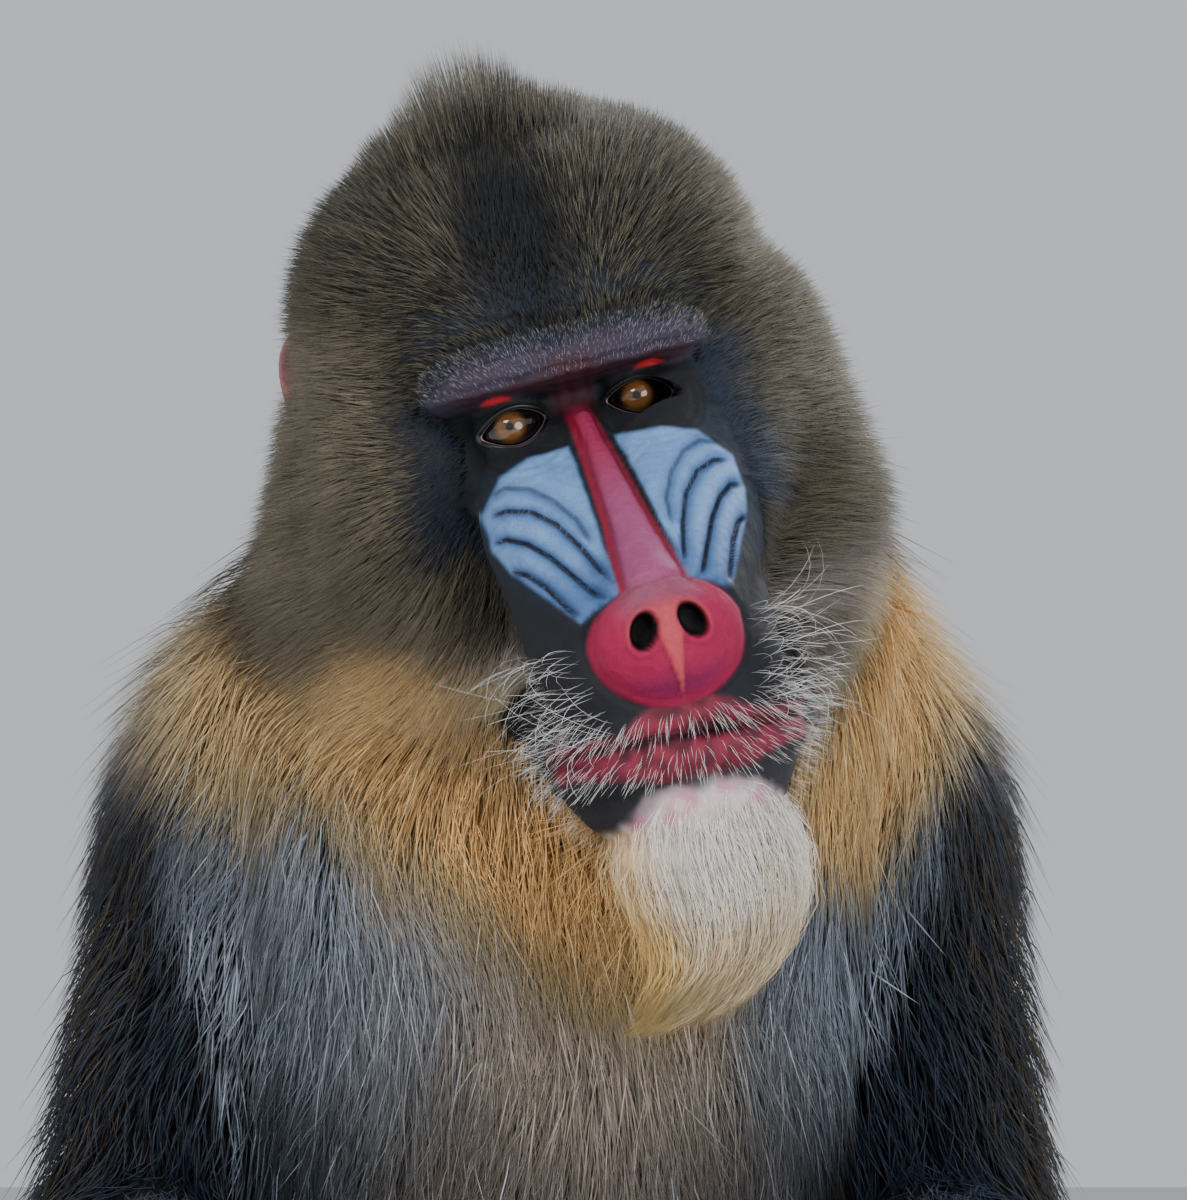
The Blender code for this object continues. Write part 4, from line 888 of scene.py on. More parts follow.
def coatFields(places, normals):  # what the tufts follow at each place: lie, length, depth and cover
    drawn = places - np.array(shift)
    local = toHead(places)
    x, y, z = local.T
    ax = np.abs(x)
    flat = np.column_stack([ax, z])
    cut = (local - (0, 70, -72)) @ np.array((0, 0.68, -0.73))
    onHead = step(14, -14, cut) * step(0.40, 0.44, drawn[:, 2])
    ratio, boneLie, boneSizes = boneField(drawn)
    bare, short = pawField(places)
    onLimb = step(1.32, 1.10, ratio) * (1 - onHead) * step(0.50, 0.44, drawn[:, 2])
    front = step(0.25, -0.25, normals[:, 1])
    wobble, fine = grain(places, 0.035, 1), grain(places, 0.012, 2)

    lie = np.column_stack([3.0 * drawn[:, 0], np.full(len(x), 0.10), np.full(len(x), -1.0)])
    ruff = step(0.40, 0.46, drawn[:, 2]) * step(0.57, 0.52, drawn[:, 2]) * front
    lie[:, 0] += ruff * np.where(drawn[:, 0] < -0.075, -5.0 * (drawn[:, 0] + 0.075), -9.0 * (drawn[:, 0] - 0.01))
    lie = lie * (1 - onLimb[:, None]) + boneLie * onLimb[:, None]
    away = np.hypot(x, z + 15) + 8
    headLie = np.column_stack([0.80 * x / away, np.full(len(x), 0.72), 0.80 * (z + 15) / away - 0.28]) @ headAxes.T
    off = np.abs(x - coat["crestCentre"])
    crest = step(*coat["crestLow"], z) * step(*coat["crestHalf"], off) * step(118, 92, y) * step(20, 40, y) * onHead
    upright = np.column_stack([0.30 * (x - coat["crestCentre"]) / 30, np.full(len(x), 0.10), np.ones(len(x))]) @ headAxes.T
    headLie = unit(headLie) * (1 - crest[:, None]) + unit(upright) * crest[:, None]
    lie = unit(lie) * (1 - onHead[:, None]) + headLie * onHead[:, None]
    swirl = coat["swirl"][0] * wobble + coat["swirl"][1] * fine
    lie = unit(lie - normals * np.sum(lie * normals, axis=1)[:, None] * (1 - 0.8 * crest[:, None]))
    lie = unit(lie + np.cross(normals, lie) * swirl[:, None])

    depth, length = coat["depth"], coat["length"]
    deep, long = (np.interp(drawn[:, 2], coat["neck"][0], row) for row in coat["neck"][1:])
    deep = deep * (1 - onLimb) + boneSizes[:, 0] * onLimb
    long = long * (1 - onLimb) + boneSizes[:, 1] * onLimb
    tail = step(0.035, 0.020, np.hypot(drawn[:, 0], drawn[:, 2] - 0.146)) * step(0.15, 0.17, drawn[:, 1])
    deep = deep * (1 - tail) + depth["tail"] * tail
    long = long * (1 - tail) + length["tail"] * tail
    wall = 17 + 1.36 * np.clip(z + 23, -43, 0) * step(-86, -70, z)  # the coat comes up to the swellings' outer edge
    behind = np.maximum(-inOutline(flat, face["bare"]), y - wall)
    cheek = step(12, -40, z)
    grown = 0.22 + 0.13 * step(-10, -40, z) + 0.65 * step(-2, 36, behind)
    deep = deep * (1 - onHead) + (depth["head"] + (depth["cheek"] - depth["head"]) * cheek) * grown * onHead
    long = long * (1 - onHead) + (length["head"] + (length["cheek"] - length["head"]) * cheek) * (0.15 + 0.85 * grown) * onHead
    low, high = coat["crestLong"]
    long = long * (1 - crest) + (low + (high - low) * step(26, 4, off)) * crest
    deep = deep * (1 - short) + 2.5 * short
    long = long * (1 - short) + 9 * short
    rump = step(1.1, 0.8, np.hypot(drawn[:, 0] / 0.050, (drawn[:, 2] - 0.095) / 0.045)) * step(0.130, 0.145, drawn[:, 1]) * (1 - tail)
    chin = np.maximum(onHead * step(-104, -112, z) * step(52, 40, y), (ax < 40) * (y < -6) * (z < -120))
    cover = np.where((behind < 0) & (onHead > 0.5), 0, 1) * (1 - bare) * (1 - 0.93 * rump) * step(0.012, 0.022, drawn[:, 2])
    return {"lie": lie, "deep": deep * mm, "long": long * mm, "cover": cover * (1 - chin), "onHead": onHead, "onLimb": onLimb,
            "local": local, "drawn": drawn, "front": front, "crest": crest, "wobble": wobble, "fine": fine, "behind": behind,
            "cheek": cheek * onHead}


def coatColours(f, count):  # root, middle and tip colour of each tuft
    tones = [np.tile(fur["back"][k], (count, 1)) for k in range(3)]

    def zone(mask, name):  # one colour laid over those before it
        for k in range(3):
            tones[k] = mixed(tones[k], fur[name][k], mask)

    x, y, z = f["local"].T
    ax = np.abs(x)
    dx, dy, dz = f["drawn"].T
    front, head, wobble, fine = f["front"], f["onHead"], f["wobble"], f["fine"]
    uneven = rng.normal(0, 1, count)
    patchy = wobble * 0.5 + fine * 0.35
    top = head * step(-84, -60, z - 0.10 * ax + 16 * wobble + 4 * uneven)
    body = 1 - top
    seen = front * body
    zone(seen, "slate")
    zone(seen * step(0.33, 0.22, dz), "belly")
    zone(seen * step(0.100, 0.030, np.abs(dx - 0.005)) * step(0.430, 0.385, dz), "breast")
    frost = np.maximum(step(0.075, 0.020, np.hypot(dx + 0.080, (dz - 0.412) / 1.1)),
                       step(0.060, 0.015, np.hypot(dx - 0.088, (dz - 0.410) / 1.2)) * 0.7)
    zone(seen * np.clip(frost * (0.6 + patchy) + step(0.9, 1.8, uneven) * 0.6, 0, 1) * step(0.25, 0.33, dz), "pale")
    zone(body * step(0.455, 0.515, dz + patchy * 0.02), "nape")
    zone(seen * step(0.49, 0.55, dz + patchy * 0.02), "shoulder")
    zone(f["onLimb"] * step(0.30, 0.24, dz), "leg")
    edge = np.where(dx < 0, *coat["armEdges"]) + np.where(dx < 0, *coat["armSlopes"]) * np.minimum(dz - 0.43, 0) + 0.012 * patchy
    inside = front * step(0.010, -0.006, np.abs(dx + 0.004) - edge)
    arm = np.maximum(f["onLimb"], seen * (1 - inside)) * (1 - inside * step(0.29, 0.33, dz)) * step(0.22, 0.26, dz)
    arm = arm * step(0.50, 0.455, dz) * (1 - top)
    # painted shade: the arms and the body's sides drawn dark blue-black, olive-brown where the fur faces outward
    zone(arm, "arm")
    zone(arm * step(0.25, 0.75, f["outward"]) * step(-0.3, 0.5, uneven), "armEdge")
    bandL, _ = toPath(np.column_stack([dx, dz]), coat["goldLeft"])
    bandR, _ = toPath(np.column_stack([dx, dz]), coat["goldRight"])
    bandL = bandL + 0.007 * step(0.45, 0.42, dz)
    ragged = patchy * 0.011 + uneven * 0.003
    collar = step(0.085, 0.035, dy) * (dz < 0.62) * body
    low = np.minimum(bandL, np.hypot(dx - 0.02, dz - 0.405)) + ragged
    zone(collar * step(0.070, 0.035, low) * step(-0.100, -0.055, dx) * step(0.075, 0.045, dx), "beige")
    band = np.minimum(bandL * 0.85, bandR * 1.35) + ragged
    zone(collar * step(*coat["tanHalf"], band), "tan")
    gold = collar * step(*coat["goldHalf"], band) * (1 - 0.5 * step(-0.072, -0.100, dx) - 0.4 * step(0.116, 0.134, dx))
    zone(gold, "gold")
    zone(gold * step(0.2, 1.4, uneven + 2 * patchy) * 0.7, "goldPale")
    zone(top, "crown")
    zone(top * (uneven > 0.15) * 0.85, "crownTick")
    zone(top * step(34, 74, ax - 0.2 * z) * (0.35 + 0.25 * fine), "temple")
    # painted light: the crown's fur lighter on one side, where the light falls
    zone(top * step(-48, -72, x) * step(62, 30, z) * (0.6 + 0.4 * fine), "paintedLitSide")
    blaze = np.hypot((x + 6) / 23, (z - 58) / 36)
    zone(top * step(1.35, 0.70, blaze + 0.25 * wobble + 0.14 * uneven) * step(60, 40, y) * 0.96, "patch")
    zone(top * step(20, 5, f["behind"] + 3 * uneven) * step(-52, -38, z) * step(22, 10, z), "besideEye")
    zone(top * step(12, 2, f["behind"]) * step(-45, -60, z) * 0.6, "besideEye")
    return tones


def unwrapOf(guide):  # a coarse copy of the skin with its own unwrap, and the tree that finds places on it
    made = bpy.data.objects.new("unwrap", guide.data.copy())
    bpy.context.scene.collection.objects.link(made)
    fewer = made.modifiers.new("Decimate", "DECIMATE")
    fewer.ratio = 9000 / (2 * len(made.data.polygons))
    applied(made)
    bpy.ops.object.select_all(action="DESELECT")
    bpy.context.view_layer.objects.active = made
    made.select_set(True)
    bpy.ops.object.mode_set(mode="EDIT")
    bpy.ops.mesh.select_all(action="SELECT")
    bpy.ops.uv.smart_project(angle_limit=math.radians(60), island_margin=0.004)
    bpy.ops.object.mode_set(mode="OBJECT")
    places, _, triangles = readMesh(made.data)
    loops = np.empty(len(made.data.loop_triangles) * 3, np.int32)
    made.data.loop_triangles.foreach_get("loops", loops)
    flat = np.empty(len(made.data.loops) * 2, np.float32)
    made.data.uv_layers.active.data.foreach_get("uv", flat)
    corners = flat.reshape(-1, 2)[loops].reshape(-1, 3, 2)
    tree = BVHTree.FromPolygons([Vector(p) for p in places], [tuple(t) for t in triangles.tolist()])
    bpy.data.objects.remove(made)
    return tree, places[triangles], corners


def patchOf(places):  # where each place lies on the skin's unwrap
    tree, spots, corners = unwrap
    hit = [tree.find_nearest(Vector(p)) for p in places]
    index = np.array([h[2] for h in hit])
    near = np.array([h[0] for h in hit])
    a, b, c = spots[index].transpose(1, 0, 2)
    area = np.linalg.norm(np.cross(b - a, c - a), axis=1) + 1e-12
    shareB = np.clip(np.linalg.norm(np.cross(near - a, c - a), axis=1) / area, 0, 1)
    shareC = np.clip(np.linalg.norm(np.cross(near - a, b - a), axis=1) / area, 0, 1)
    ua, ub, uc = corners[index].transpose(1, 0, 2)
    return ua + shareB[:, None] * (ub - ua) + shareC[:, None] * (uc - ua)


def sampled(places, normals, triangles, weight, count):  # random places in the triangles, with the normal at each
    chosen = triangles[rng.choice(len(weight), count, p=weight / weight.sum())]
    u, v = np.sort(rng.random((2, count)), axis=0)[:, :, None]

    def within(values):
        return values[chosen[:, 0]] * u + values[chosen[:, 1]] * (v - u) + values[chosen[:, 2]] * (1 - v)

    return within(places), unit(within(normals))


def scatter(count, weigh):  # random places over the guide, as dense as weigh says
    a, b, c = (guidePlaces[guideTriangles[:, k]] for k in range(3))
    area = np.linalg.norm(np.cross(b - a, c - a), axis=1)
    weight = area * weigh((a + b + c) / 3, guideNormals[guideTriangles[:, 0]])
    return sampled(guidePlaces, guideNormals, guideTriangles, weight, count)


def draped(places, height):  # each place moved to stand that high over the skin
    out = np.empty_like(places)
    for i, (p, h) in enumerate(zip(places, height)):
        near, normal, _, _ = guideTree.find_nearest(Vector(p))
        out[i] = near + normal * h
    return out


def layTufts(name, slot, finish, paths, up, width, tones, patch, taper=0.75):
    # solid tapered blades of three sides along curves of root, bend and tip, joined in one mesh
    root, bend, tip = paths
    count, rings = len(root), len(tones) - 1
    places = np.empty((count, rings * 3 + 1, 3))
    for k in range(rings):
        t = k / rings
        middle = (1 - t) ** 2 * root + 2 * t * (1 - t) * bend + t * t * tip
        ahead = unit(2 * (1 - t) * (bend - root) + 2 * t * (tip - bend))
        across = unit(np.cross(ahead, up))
        above = np.cross(across, ahead)
        half = (width * 0.5 * (0.8 + 0.55 * t) * (1 - t) ** taper)[:, None]
        places[:, k * 3] = middle + across * half
        places[:, k * 3 + 1] = middle + above * half * 0.8
        places[:, k * 3 + 2] = middle - across * half
    places[:, -1] = tip
    faces = [(0, 1, 2)]
    for k in range(rings - 1):
        low, high = 3 * k, 3 * k + 3
        for i in range(3):
            j = (i + 1) % 3
            faces += [(low + i, high + i, high + j), (low + i, high + j, low + j)]
    last = 3 * rings - 3
    faces += [(last + i, last + 3, last + (i + 1) % 3) for i in range(3)]
    size = rings * 3 + 1
    triangles = (np.array(faces)[None] + (np.arange(count) * size)[:, None, None]).reshape(-1, 3)
    mesh = meshOf(name, places.reshape(-1, 3), triangles)
    tint = np.concatenate([np.repeat(tone[:, None], 3, axis=1) for tone in tones[:-1]] + [tones[-1][:, None]], axis=1)
    putTint(mesh, tint.reshape(-1, 3))
    side = np.array([0.0, 0.5, 1.0] * rings + [0.5]) - 0.5
    rise = np.repeat(np.arange(rings) / rings, 3).tolist() + [1.0]
    corner = np.column_stack([side, np.array(rise) - 0.5]) * 0.003
    flat = (patch[:, None] + corner[None]).reshape(-1, 2)
    layer = mesh.uv_layers.new(name="OFBake")
    layer.data.foreach_set("uv", flat[triangles.ravel()].astype(np.float32).ravel())
    made = show(name, mesh, slot, finish)
    print("coat:", name, len(triangles), "triangles")
    return made


def ladderOf(tones, rings):  # the three tones spread over the rings of a tuft
    stops = np.linspace(0, 2, rings + 1)
    return [tones[int(s)] * (1 - s % 1) + tones[min(int(s) + 1, 2)] * (s % 1) for s in stops]


def growCoat(name, slot, finish, weigh):  # one piece of coat on each side of the body
    count, rings, width, gather = coat["pieces"][name]
    for side, sign in sides.items():
        def onSide(places, normals):
            cover = coatFields(places, normals)
            return cover["cover"] * weigh(cover, places, normals) * ((places[:, 0] - shift.x) * sign > 0)

        root, normal = scatter(count, onSide)
        f = coatFields(root, normal)
        f["outward"] = normal[:, 0] * np.sign(root[:, 0])
        size = rng.uniform(0.70, 1.20, count)
        height = f["deep"] * rng.uniform(0.42, 1.0, count) * np.where(rng.random(count) < coat["stray"], 1.35, 1)
        reach = f["long"] * size
        lie = unit(f["lie"] + np.cross(normal, f["lie"]) * rng.normal(0, 0.16, count)[:, None])
        tree = KDTree(count // 9)
        for i in range(count // 9):
            tree.insert(Vector(root[i]), i)
        tree.balance()
        centre = np.array([tree.find(Vector(p))[1] for p in root])
        pull = (root[centre] - root) * (gather * rng.uniform(0.3, 1.3, count))[:, None]
        side_ = np.cross(normal, lie) * (reach * rng.normal(0, 0.07, count))[:, None]  # each hair bows a little
        far = root + lie * reach[:, None] + pull
        near = root + lie * (reach * 0.45)[:, None] + pull * 0.3 + side_
        crest = f["crest"][:, None]
        rise = (0.85 - 0.30 * f["onHead"]) * height
        tip = draped(far, height) * (1 - crest) + (far + normal * (height * 0.3)[:, None]) * crest
        bend = draped(near, rise) * (1 - crest) + (near + normal * (height * 0.3)[:, None]) * crest
        for curve in (bend, tip):
            curve[:, 2] = np.maximum(curve[:, 2], rng.uniform(0.0012, 0.006, count))  # nothing goes through the floor
        showing = root * 0.2 + bend * 0.4 + tip * 0.4  # each tuft takes its colour from where it shows
        f["drawn"], f["local"] = showing - np.array(shift), toHead(showing)
        tones = coatColours(f, count)
        shade = np.exp(rng.normal(0, 0.14, count) + 0.12 * rng.normal(0, 1, count)[centre])[:, None]
        layTufts(name + "_" + side, slot, finish, (root - normal * coat["sunk"] * mm, bend, tip), normal,
                 width * mm * size * (0.5 + 0.5 * np.clip(f["deep"] / 0.012, 0, 1)),
                 ladderOf([tone * shade for tone in tones], rings), patchOf(root))


print("coat: guide and unwrap")
guide = voxelSkin("guide", guideMesh, 0.0045, 1)
guidePlaces, guideNormals, guideTriangles = readMesh(guide.data)
guideTree = BVHTree.FromPolygons([Vector(p) for p in guidePlaces], [tuple(t) for t in guideTriangles.tolist()])
unwrap = unwrapOf(guide)
bpy.data.objects.remove(guide)
coatFinish = tintedMaterial("coatHair", 0.62, 0, 260.0, 0.12)


def headZone(f, places, normals):
    return f["onHead"] * (1 + 1.8 * step(0.3, -0.5, normals[:, 1]))


def mantleZone(f, places, normals):
    facing = step(0.4, -0.2, normals[:, 1])
    low = 0.43 + 0.12 * (normals[:, 1] > 0.3) - 0.13 * (normals[:, 1] < 0.3)
    return (1 - f["onHead"]) * (1 - f["onLimb"]) * (0.4 + 0.6 * facing) * step(0.30, 0.34, f["drawn"][:, 2]) * (f["drawn"][:, 2] > low)


def backZone(f, places, normals):
    return (1 - f["onHead"]) * (1 - f["onLimb"]) * (mantleZone(f, places, normals) < 0.1)


def armZone(f, places, normals):
    return f["onLimb"] * (f["drawn"][:, 2] > 0.235) * ((f["drawn"][:, 1] > -0.02) | (f["drawn"][:, 2] > 0.285))


def legZone(f, places, normals):
    return f["onLimb"] * (1 - armZone(f, places, normals).astype(bool))


growCoat("headCoat", "face_skin", coatFinish, headZone)
growCoat("mantleCoat", "ruff_fur", coatFinish, mantleZone)
growCoat("backCoat", "coat_fur", coatFinish, backZone)
growCoat("armCoat", "coat_fur", coatFinish, armZone)
growCoat("legCoat", "coat_fur", coatFinish, legZone)

# Beard, fringe, whiskers and bristles: head millimetres throughout.
trim = {
    # how many, width, rings
    "beard": (10500, 0.30, 3), "fringe": (800, 0.15, 2), "whiskers": (190, 0.17, 6),
    "lipBristles": (560, 0.14, 3), "browBristles": (1500, 0.15, 2),
    # the beard's outline: height, left and right edge, depth of its front
    "outline": ((-126, -36, 37, -74), (-140, -45, 45, -68), (-153, -43, 45, -62), (-166, -37, 43, -56), (-177, -32, 39, -51),
                (-189, -27, 31, -46), (-198, -24, 20, -42), (-208, -34, 4, -37)),
    "curl": (-15, 0, 3),  # how far the lowest hairs sweep aside
    "lowest": -209,
}
hairTones = {name: [colourOf(c) for c in codes] for name, codes in {
    "white": ("#b5b0ac", "#f2f0ee", "#ffffff"), "cream": ("#f7f2ee", "#fdf9f4", "#fff6e4"),
    "golden": ("#eabf78", "#f9cb7c", "#fdd78f"), "grey": ("#4a4650", "#8a8596", "#bdb8c8"),
}.items()}
headPlaces = toHead(skinPlaces[:headCount])
headNormals = skinNormals[:headCount] @ headAxes
headTriangles = skinTriangles[(skinTriangles < headCount).all(axis=1)]


def rootsWhere(mask, count):
    a, b, c = (headPlaces[headTriangles[:, k]] for k in range(3))
    weight = np.linalg.norm(np.cross(b - a, c - a), axis=1) * mask[headTriangles].min(axis=1)
    return sampled(headPlaces, headNormals, headTriangles, weight, count)


def tonesOf(count, **shares):  # tones mixed by each share, the first one being the ground
    (first, _), *rest = shares.items()
    tones = [np.tile(hairTones[first][k], (count, 1)) for k in range(3)]
    for name, share in rest:
        tones = [mixed(tones[k], hairTones[name][k], share[k] if isinstance(share, list) else share) for k in range(3)]
    shade = np.exp(rng.normal(0, 0.10, count))[:, None]
    return [np.minimum(tone * shade, 1) for tone in tones]


def layHair(name, slot, root, normal, bend, tip, tones):
    _, width, rings = trim[name]
    world = [np.array(headOrigin) + (p @ headAxes.T) * mm for p in (root - normal * 0.4, bend, tip)]
    size = rng.uniform(0.75, 1.2, len(root)) * width * mm
    layTufts(name, slot, coatFinish, world, normal @ headAxes.T, size, ladderOf(tones, rings), patchOf(world[0]), 0.45)


def beardAt(z, across, inward):  # where a hair lies in the beard's outline at a height
    height, left, right, front = (np.array(row) for row in zip(*trim["outline"]))
    left, right, front = (np.interp(-z, -height, row) for row in (left, right, front))
    half = (right - left) / 2
    return np.column_stack([(left + right) / 2 + across * half, front + inward * half / 41 + 9 * across ** 2, z])


def growBeard():
    x, y, z = headPlaces.T
    ax = np.abs(x)
    mask = (z < -126 - 0.26 * np.maximum(ax - 6, 0) - 6 * step(16, 36, ax)) & (z > -193) & (ax < 47)
    mask = mask * (y > -90) * (y < np.where(z > -150, 12, -14)) * (1 - 0.75 * step(-143, -133, z))  # sparse on the bare chin
    count = trim["beard"][0]
    root, normal = rootsWhere(mask, count)
    middle = beardAt(root[:, 2], np.zeros(count), 0)
    half = beardAt(root[:, 2], np.ones(count), 0)[:, 0] - middle[:, 0]
    across = np.clip((root[:, 0] - middle[:, 0]) / half + rng.normal(0, 0.07, count), -1.04, 1.04)
    inward = np.clip(root[:, 1] - middle[:, 1] - 9 * across ** 2, -4, 40) + rng.normal(0, 1.5, count)
    reach = 7 + (root[:, 2] - trim["lowest"]) * rng.beta(1.7, 1.5, count) * (0.25 + 0.75 * step(-127, -141, root[:, 2]))
    low = np.maximum(root[:, 2] - reach, trim["lowest"] + rng.exponential(2.0, count))
    sweep = step(-186, -206, low) * step(0.9, -0.3, across) * rng.uniform(0, 1, count) ** 0.7
    tip = beardAt(low, across, inward) + rng.normal(0, 0.9, (count, 3)) + sweep[:, None] * trim["curl"]
    halfway = beardAt((root[:, 2] + low) / 2, across * 1.03, inward) + normal * (rng.uniform(0.6, 2.4, count))[:, None]
    bend = 2 * halfway - (root + tip) / 2
    beside = 0.85 * step(-0.25, -0.85, across) + 0.35 * step(0.65, 1.0, across)
    shares = [beside + part * step(high, -206, low) for part, high in ((0.15, -185), (0.45, -178), (0.9, -170))]
    layHair("beard", "beard_fur", root, normal, bend, tip,
            tonesOf(count, cream=1, golden=[np.clip(share + rng.normal(0, 0.10, count), 0, 1) for share in shares]))


def growFringe():
    x, y, z = headPlaces.T
    outward = headNormals[:, 0] * np.sign(x)
    mask = (outward > 0.45) & (y > -46) & (y < 4) & (z > -146) & (z < -80) & (np.abs(x) > 28)
    count = trim["fringe"][0]
    root, normal = rootsWhere(mask, count)
    sign, low = np.sign(root[:, 0]), step(-112, -138, root[:, 2])
    size = rng.uniform(6, 12, (count, 1)) * (0.55 + 0.45 * step(-80, -105, root[:, 2:]))
    ahead = np.column_stack([0.9 * sign, np.full(count, 0.10), -0.15 - 0.65 * low])
    ahead = unit(ahead + rng.normal(0, 0.28, (count, 3)))
    tip = root + ahead * size + rng.normal(0, 0.12, (count, 3)) * size + np.array((0, 0, -0.20)) * size
    bend = root + ahead * size * 0.5 + normal * size * 0.15
    layHair("fringe", "beard_fur", root, normal, bend, tip, tonesOf(count, white=1, golden=low * 0.7))


def growWhiskers():
    x, y, z = headPlaces.T
    mask = (np.abs(x) > 23) & (z > -108) & (z < -74) & (y < -36) & (headNormals[:, 1] < -0.1) & (discField(x, z) > 1.08)
    count = trim["whiskers"][0]
    root, normal = rootsWhere(mask, count)
    sign = np.sign(root[:, 0])
    size = np.where(rng.random(count) < 0.35, rng.uniform(26, 42, count), rng.uniform(11, 24, count))[:, None]
    ahead = unit(np.column_stack([0.9 * sign, rng.uniform(-0.75, -0.1, count), rng.uniform(-0.35, 0.45, count)]))
    turn = unit(rng.normal(0, 1, (count, 3)) + np.array((0, 0, -0.6)))
    bend = root + ahead * size * 0.62 + normal * 2
    tip = bend + unit(ahead * 0.25 + turn * rng.uniform(0.5, 1.3, (count, 1))) * size * 0.55
    layHair("whiskers", "beard_fur", root, normal, bend, tip, tonesOf(count, white=1))


def growLipBristles():
    x, y, z = headPlaces.T
    up = z - mouthHeight(x)
    mask = (np.abs(x) < 44) & (y < -34) & (headNormals[:, 1] < -0.15) & (((up > 1.2) & (up < 10 + 4 * step(20, 34, np.abs(x)))) | ((up < -2.5) & (up > -13)))
    count = trim["lipBristles"][0]
    root, normal = rootsWhere(mask & (discField(x, z) > 1.0), count)
    upper = (root[:, 2] > mouthHeight(root[:, 0]))[:, None]
    size = rng.uniform(0.7, 1.15, (count, 1)) * np.where(upper, 9.5, 6.5)
    spread = (root[:, 0] - 2) / 30
    ahead = unit(np.column_stack([spread * 1.1, np.full(count, -0.55), np.full(count, -0.75)]) + rng.normal(0, 0.16, (count, 3)))
    bend = root + unit(ahead + normal * 0.9) * size * 0.5
    tip = root + ahead * size + np.array((0, 0.12, -0.12)) * size
    layHair("lipBristles", "beard_fur", root, normal, bend, tip, tonesOf(count, white=1))


def growBrowBristles():
    x, y, z = headPlaces.T
    mask = (np.abs(x) < 50) & (z > 13) & (z < 29) & (y < 12)
    count = trim["browBristles"][0]
    root, normal = rootsWhere(mask, count)
    ahead = unit(np.column_stack([root[:, 0] / 60, np.full(count, -0.30), np.full(count, 0.75)]) + rng.normal(0, 0.25, (count, 3)))
    size = rng.uniform(1.3, 3.2, (count, 1))
    layHair("browBristles", "face_skin", root, normal, root + unit(ahead + normal) * size * 0.5, root + ahead * size, tonesOf(count, grey=1))


growBeard()
growFringe()
growWhiskers()
growLipBristles()
growBrowBristles()


def makeNails():
    wide, long, thick = hands["nail"]
    finish = newMaterial("nailHorn", 0.35)
    tone = noiseAt(finish[1], objectPlace(finish[1]), 700.0)
    plug(finish[1].node("ValToRGB", {"stops": [(0.3, (0.010, 0.009, 0.009)), (0.75, (0.045, 0.038, 0.034))]}, Fac=tone), finish[2], "Base Color")
    bm = bmesh.new()
    for place in nailPlaces:
        size = Matrix.Diagonal((wide, long, thick, 1))
        bmesh.ops.create_uvsphere(bm, u_segments=14, v_segments=8, radius=1, matrix=place @ size)
    mesh = bpy.data.meshes.new("nails")
    bm.to_mesh(mesh)
    bm.free()
    show("nails", mesh, "hand_skin", finish[0])


def makeLidRims():  # the wet edge of each pair of lids, and the dark roll round it
    x, y, z = pose["eyeBall"]
    for name, share, reach, thick, code in (("lidEdge", 0.93, 11.5, 0.42, "#8d7478"), ("lidRoll", 1.02, 12.3, 0.95, "#050608")):
        finish, base, shader = newMaterial(name, 0.50, Coat_Weight=0.1)
        tone = noiseAt(base, objectPlace(base), 1500.0)
        dark, light = (tuple(colourOf(code) * k) for k in (0.6, 1.3))
        plug(base.node("ValToRGB", {"stops": [(0.3, dark), (0.7, light)]}, Fac=tone), shader, "Base Color")
        for side, sign in sides.items():
            made = bpy.data.curves.new(name, "CURVE")
            made.dimensions, made.bevel_depth, made.bevel_resolution = "3D", thick * mm, 3
            line = made.splines.new("POLY")
            outline = lidOutline(56)
            line.points.add(len(outline) - 1)
            line.use_cyclic_u = True
            place = headFrame @ Matrix.Translation((x * sign, y, z)) @ turned(5 * sign, "Y")
            for point, p in zip(line.points, outline):
                p = p * share
                at = place @ Vector((p.x, -math.sqrt(max(reach ** 2 - p.length_squared, 12)), p.y))
                point.co = (*at, 1)
            holder = bpy.data.objects.new(name, made)
            bpy.context.scene.collection.objects.link(holder)
            bpy.context.view_layer.update()
            mesh = bpy.data.meshes.new_from_object(holder.evaluated_get(bpy.context.evaluated_depsgraph_get()))
            bpy.data.objects.remove(holder)
            show(name + "_" + side, mesh, "face_skin", finish)


makeNails()
makeLidRims()
print("trim: beard, whiskers, nails and lids")


# ---- eyes, camera, lights ----

eyes = {"iris": 6.1, "gaze": (-0.06, -1.0, 0.02), "rings": 40, "segments": 64}


def eyeMaterial():
    made, base, shader = newMaterial("eye", 0.06, Coat_Weight=1.0, Coat_Roughness=0.02, IOR=1.38)
    pattern = base.node("UVMap", {"uv_map": "gaze"})
    split = base.node("SeparateXYZ", Vector=pattern)
    radius = split
    fibres = base.node("TexNoise", Vector=base.node("VectorMath", {"operation": "MULTIPLY"}, i0=pattern, i1=(1.6, 26.0, 1.0)),
                       Scale=3.0, Detail=4.0)
    ramp = base.node("ValToRGB", {"stops": [
        (0.0, (0.002, 0.002, 0.002)), (0.205, (0.002, 0.002, 0.002)), (0.235, tuple(colourOf("#643f1c"))),
        (0.60, tuple(colourOf("#704a25"))), (0.86, tuple(colourOf("#402710"))), (0.97, tuple(colourOf("#140c08"))),
        (1.0, tuple(colourOf("#0d0a0a")))]}, Fac=radius)
    shade = base.node("ValToRGB", {"stops": [(0.25, (0.55,) * 3), (0.75, (1.35,) * 3)]}, Fac=fibres)
    plug(base.node("Mix", {"data_type": "RGBA", "blend_type": "MULTIPLY"}, out=2, i0=0.8, i6=ramp, i7=shade), shader, "Base Color")
    return made


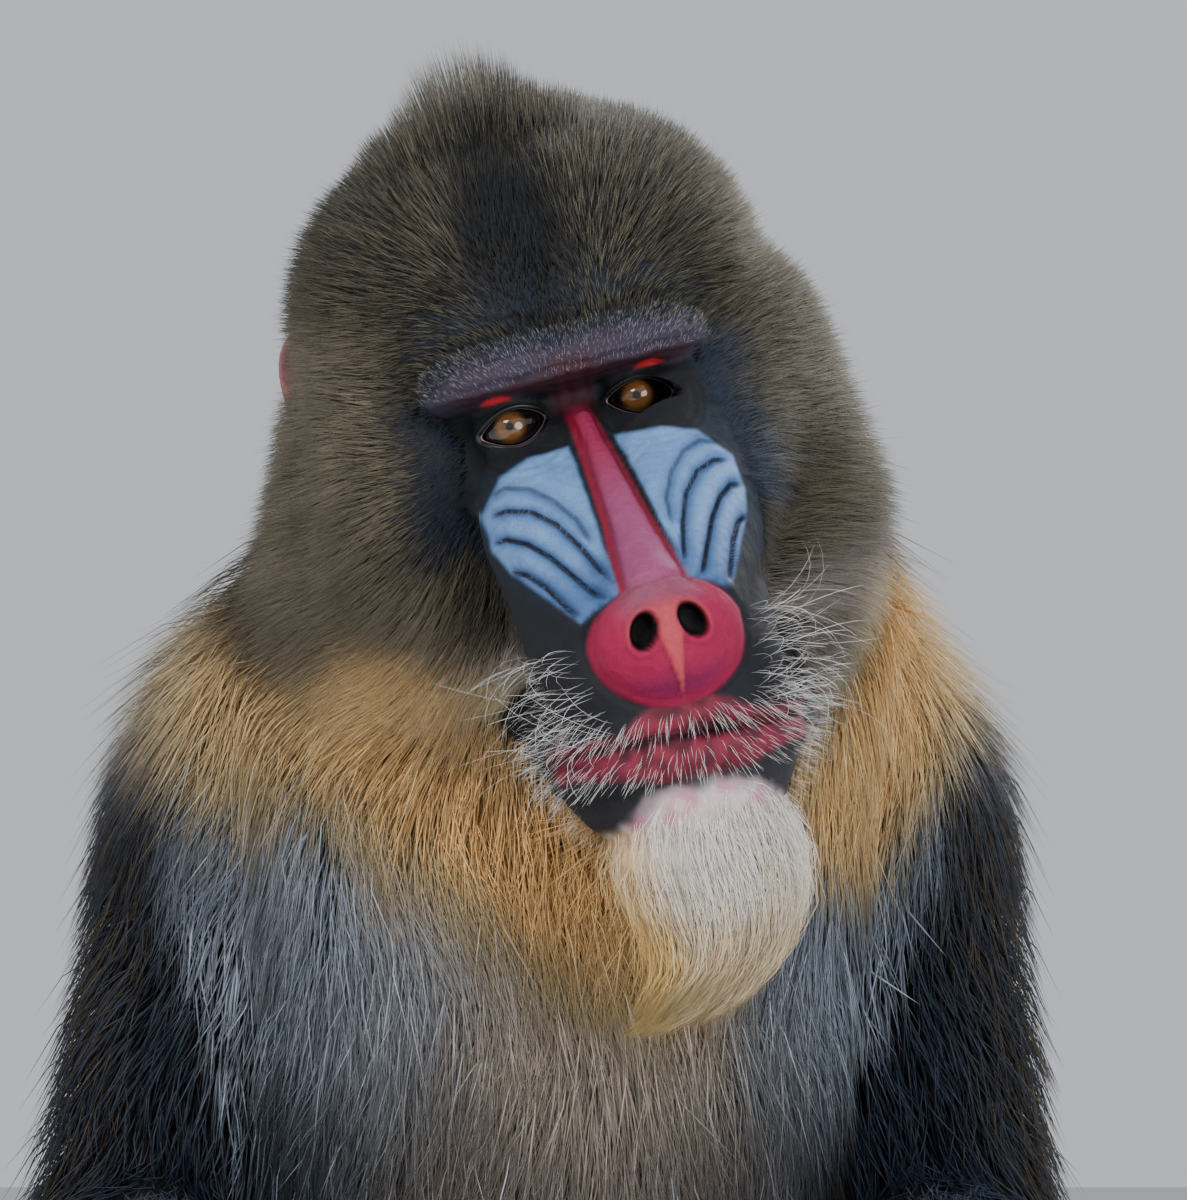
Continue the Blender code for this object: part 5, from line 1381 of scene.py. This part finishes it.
def makeEye(side, sign, finish):
    """A ball whose front swells into a cornea, with the iris drawn by its own map."""
    x, y, z = pose["eyeBall"]
    centre = headFrame @ Vector((x * sign, y, z))
    towards = Vector(eyes["gaze"]).normalized()
    turn = towards.to_track_quat("Z", "Y").to_matrix().to_4x4()
    bm = bmesh.new()
    bmesh.ops.create_uvsphere(bm, u_segments=eyes["segments"], v_segments=eyes["rings"], radius=pose["eyeRadius"] * mm)
    layer = bm.loops.layers.uv.new("gaze")
    radius = pose["eyeRadius"] * mm
    for face_ in bm.faces:
        for loop in face_.loops:
            p = loop.vert.co
            flat = math.hypot(p.x, p.y) / (eyes["iris"] * mm)
            loop[layer].uv = (min(flat, 1.0) if p.z > 0 else 1.0, math.atan2(p.y, p.x) / (2 * math.pi))
    for vert in bm.verts:
        flat = math.hypot(vert.co.x, vert.co.y) / (eyes["iris"] * 1.1 * mm)
        if vert.co.z > 0 and flat < 1:
            vert.co.z += 0.9 * mm * (1 - flat ** 2) ** 1.2
    bmesh.ops.transform(bm, verts=bm.verts, matrix=Matrix.Translation(centre) @ turn)
    mesh = bpy.data.meshes.new("eyeBall_" + side)
    bm.to_mesh(mesh)
    bm.free()
    made = show("eyeBall_" + side, mesh, "eye", finish)
    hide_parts("eye_" + side)


eyeFinish = eyeMaterial()
for side, sign in sides.items():
    makeEye(side, sign, eyeFinish)

camera = {"aim": (0.012, -0.10, 0.537), "distance": 3.5, "high": 0.400}


def makeCamera():
    made = bpy.data.cameras.new("camera")
    made.sensor_fit, made.sensor_height = "VERTICAL", 36
    made.lens = 36 * camera["distance"] / camera["high"]
    holder = bpy.data.objects.new("camera", made)
    holder.location = Vector(camera["aim"]) + shift + Vector((0, -camera["distance"], 0))
    holder.rotation_euler = (math.radians(90), 0, 0)
    bpy.context.scene.collection.objects.link(holder)
    bpy.context.scene.camera = holder


def areaLight(name, place, aim, size, power, colour=(1, 1, 1)):
    made = bpy.data.lights.new(name, "AREA")
    made.shape, made.size, made.energy, made.color = "DISK", size, power, colour
    holder = bpy.data.objects.new(name, made)
    holder.location = place
    holder.rotation_euler = (Vector(aim) - Vector(place)).to_track_quat("-Z", "Y").to_euler()
    bpy.context.scene.collection.objects.link(holder)


def makeStage():
    bm = bmesh.new()
    bmesh.ops.create_grid(bm, x_segments=2, y_segments=2, size=6)
    floor = linked("floor", bm)
    paint, base, shader = newMaterial("floorPaint", 0.85)
    shader.inputs["Base Color"].default_value = (0.62, 0.62, 0.61, 1)
    floor.data.materials.append(paint)
    world = bpy.data.worlds.new("studio")
    world.use_nodes = True
    world.node_tree.nodes["Background"].inputs["Color"].default_value = (0.80, 0.84, 0.90, 1)
    world.node_tree.nodes["Background"].inputs["Strength"].default_value = 0.74
    bpy.context.scene.world = world
    areaLight("key", (-1.2, -1.9, 2.2), (0, 0, 0.5), 1.3, 60, (1.0, 0.97, 0.93))
    areaLight("fill", (1.5, -2.0, 0.9), (0, 0, 0.5), 1.6, 38, (0.92, 0.96, 1.0))
    areaLight("rim", (0.9, 1.7, 1.9), (0, 0, 0.5), 1.2, 40)


makeCamera()
makeStage()
print("stage: camera, floor and lights")
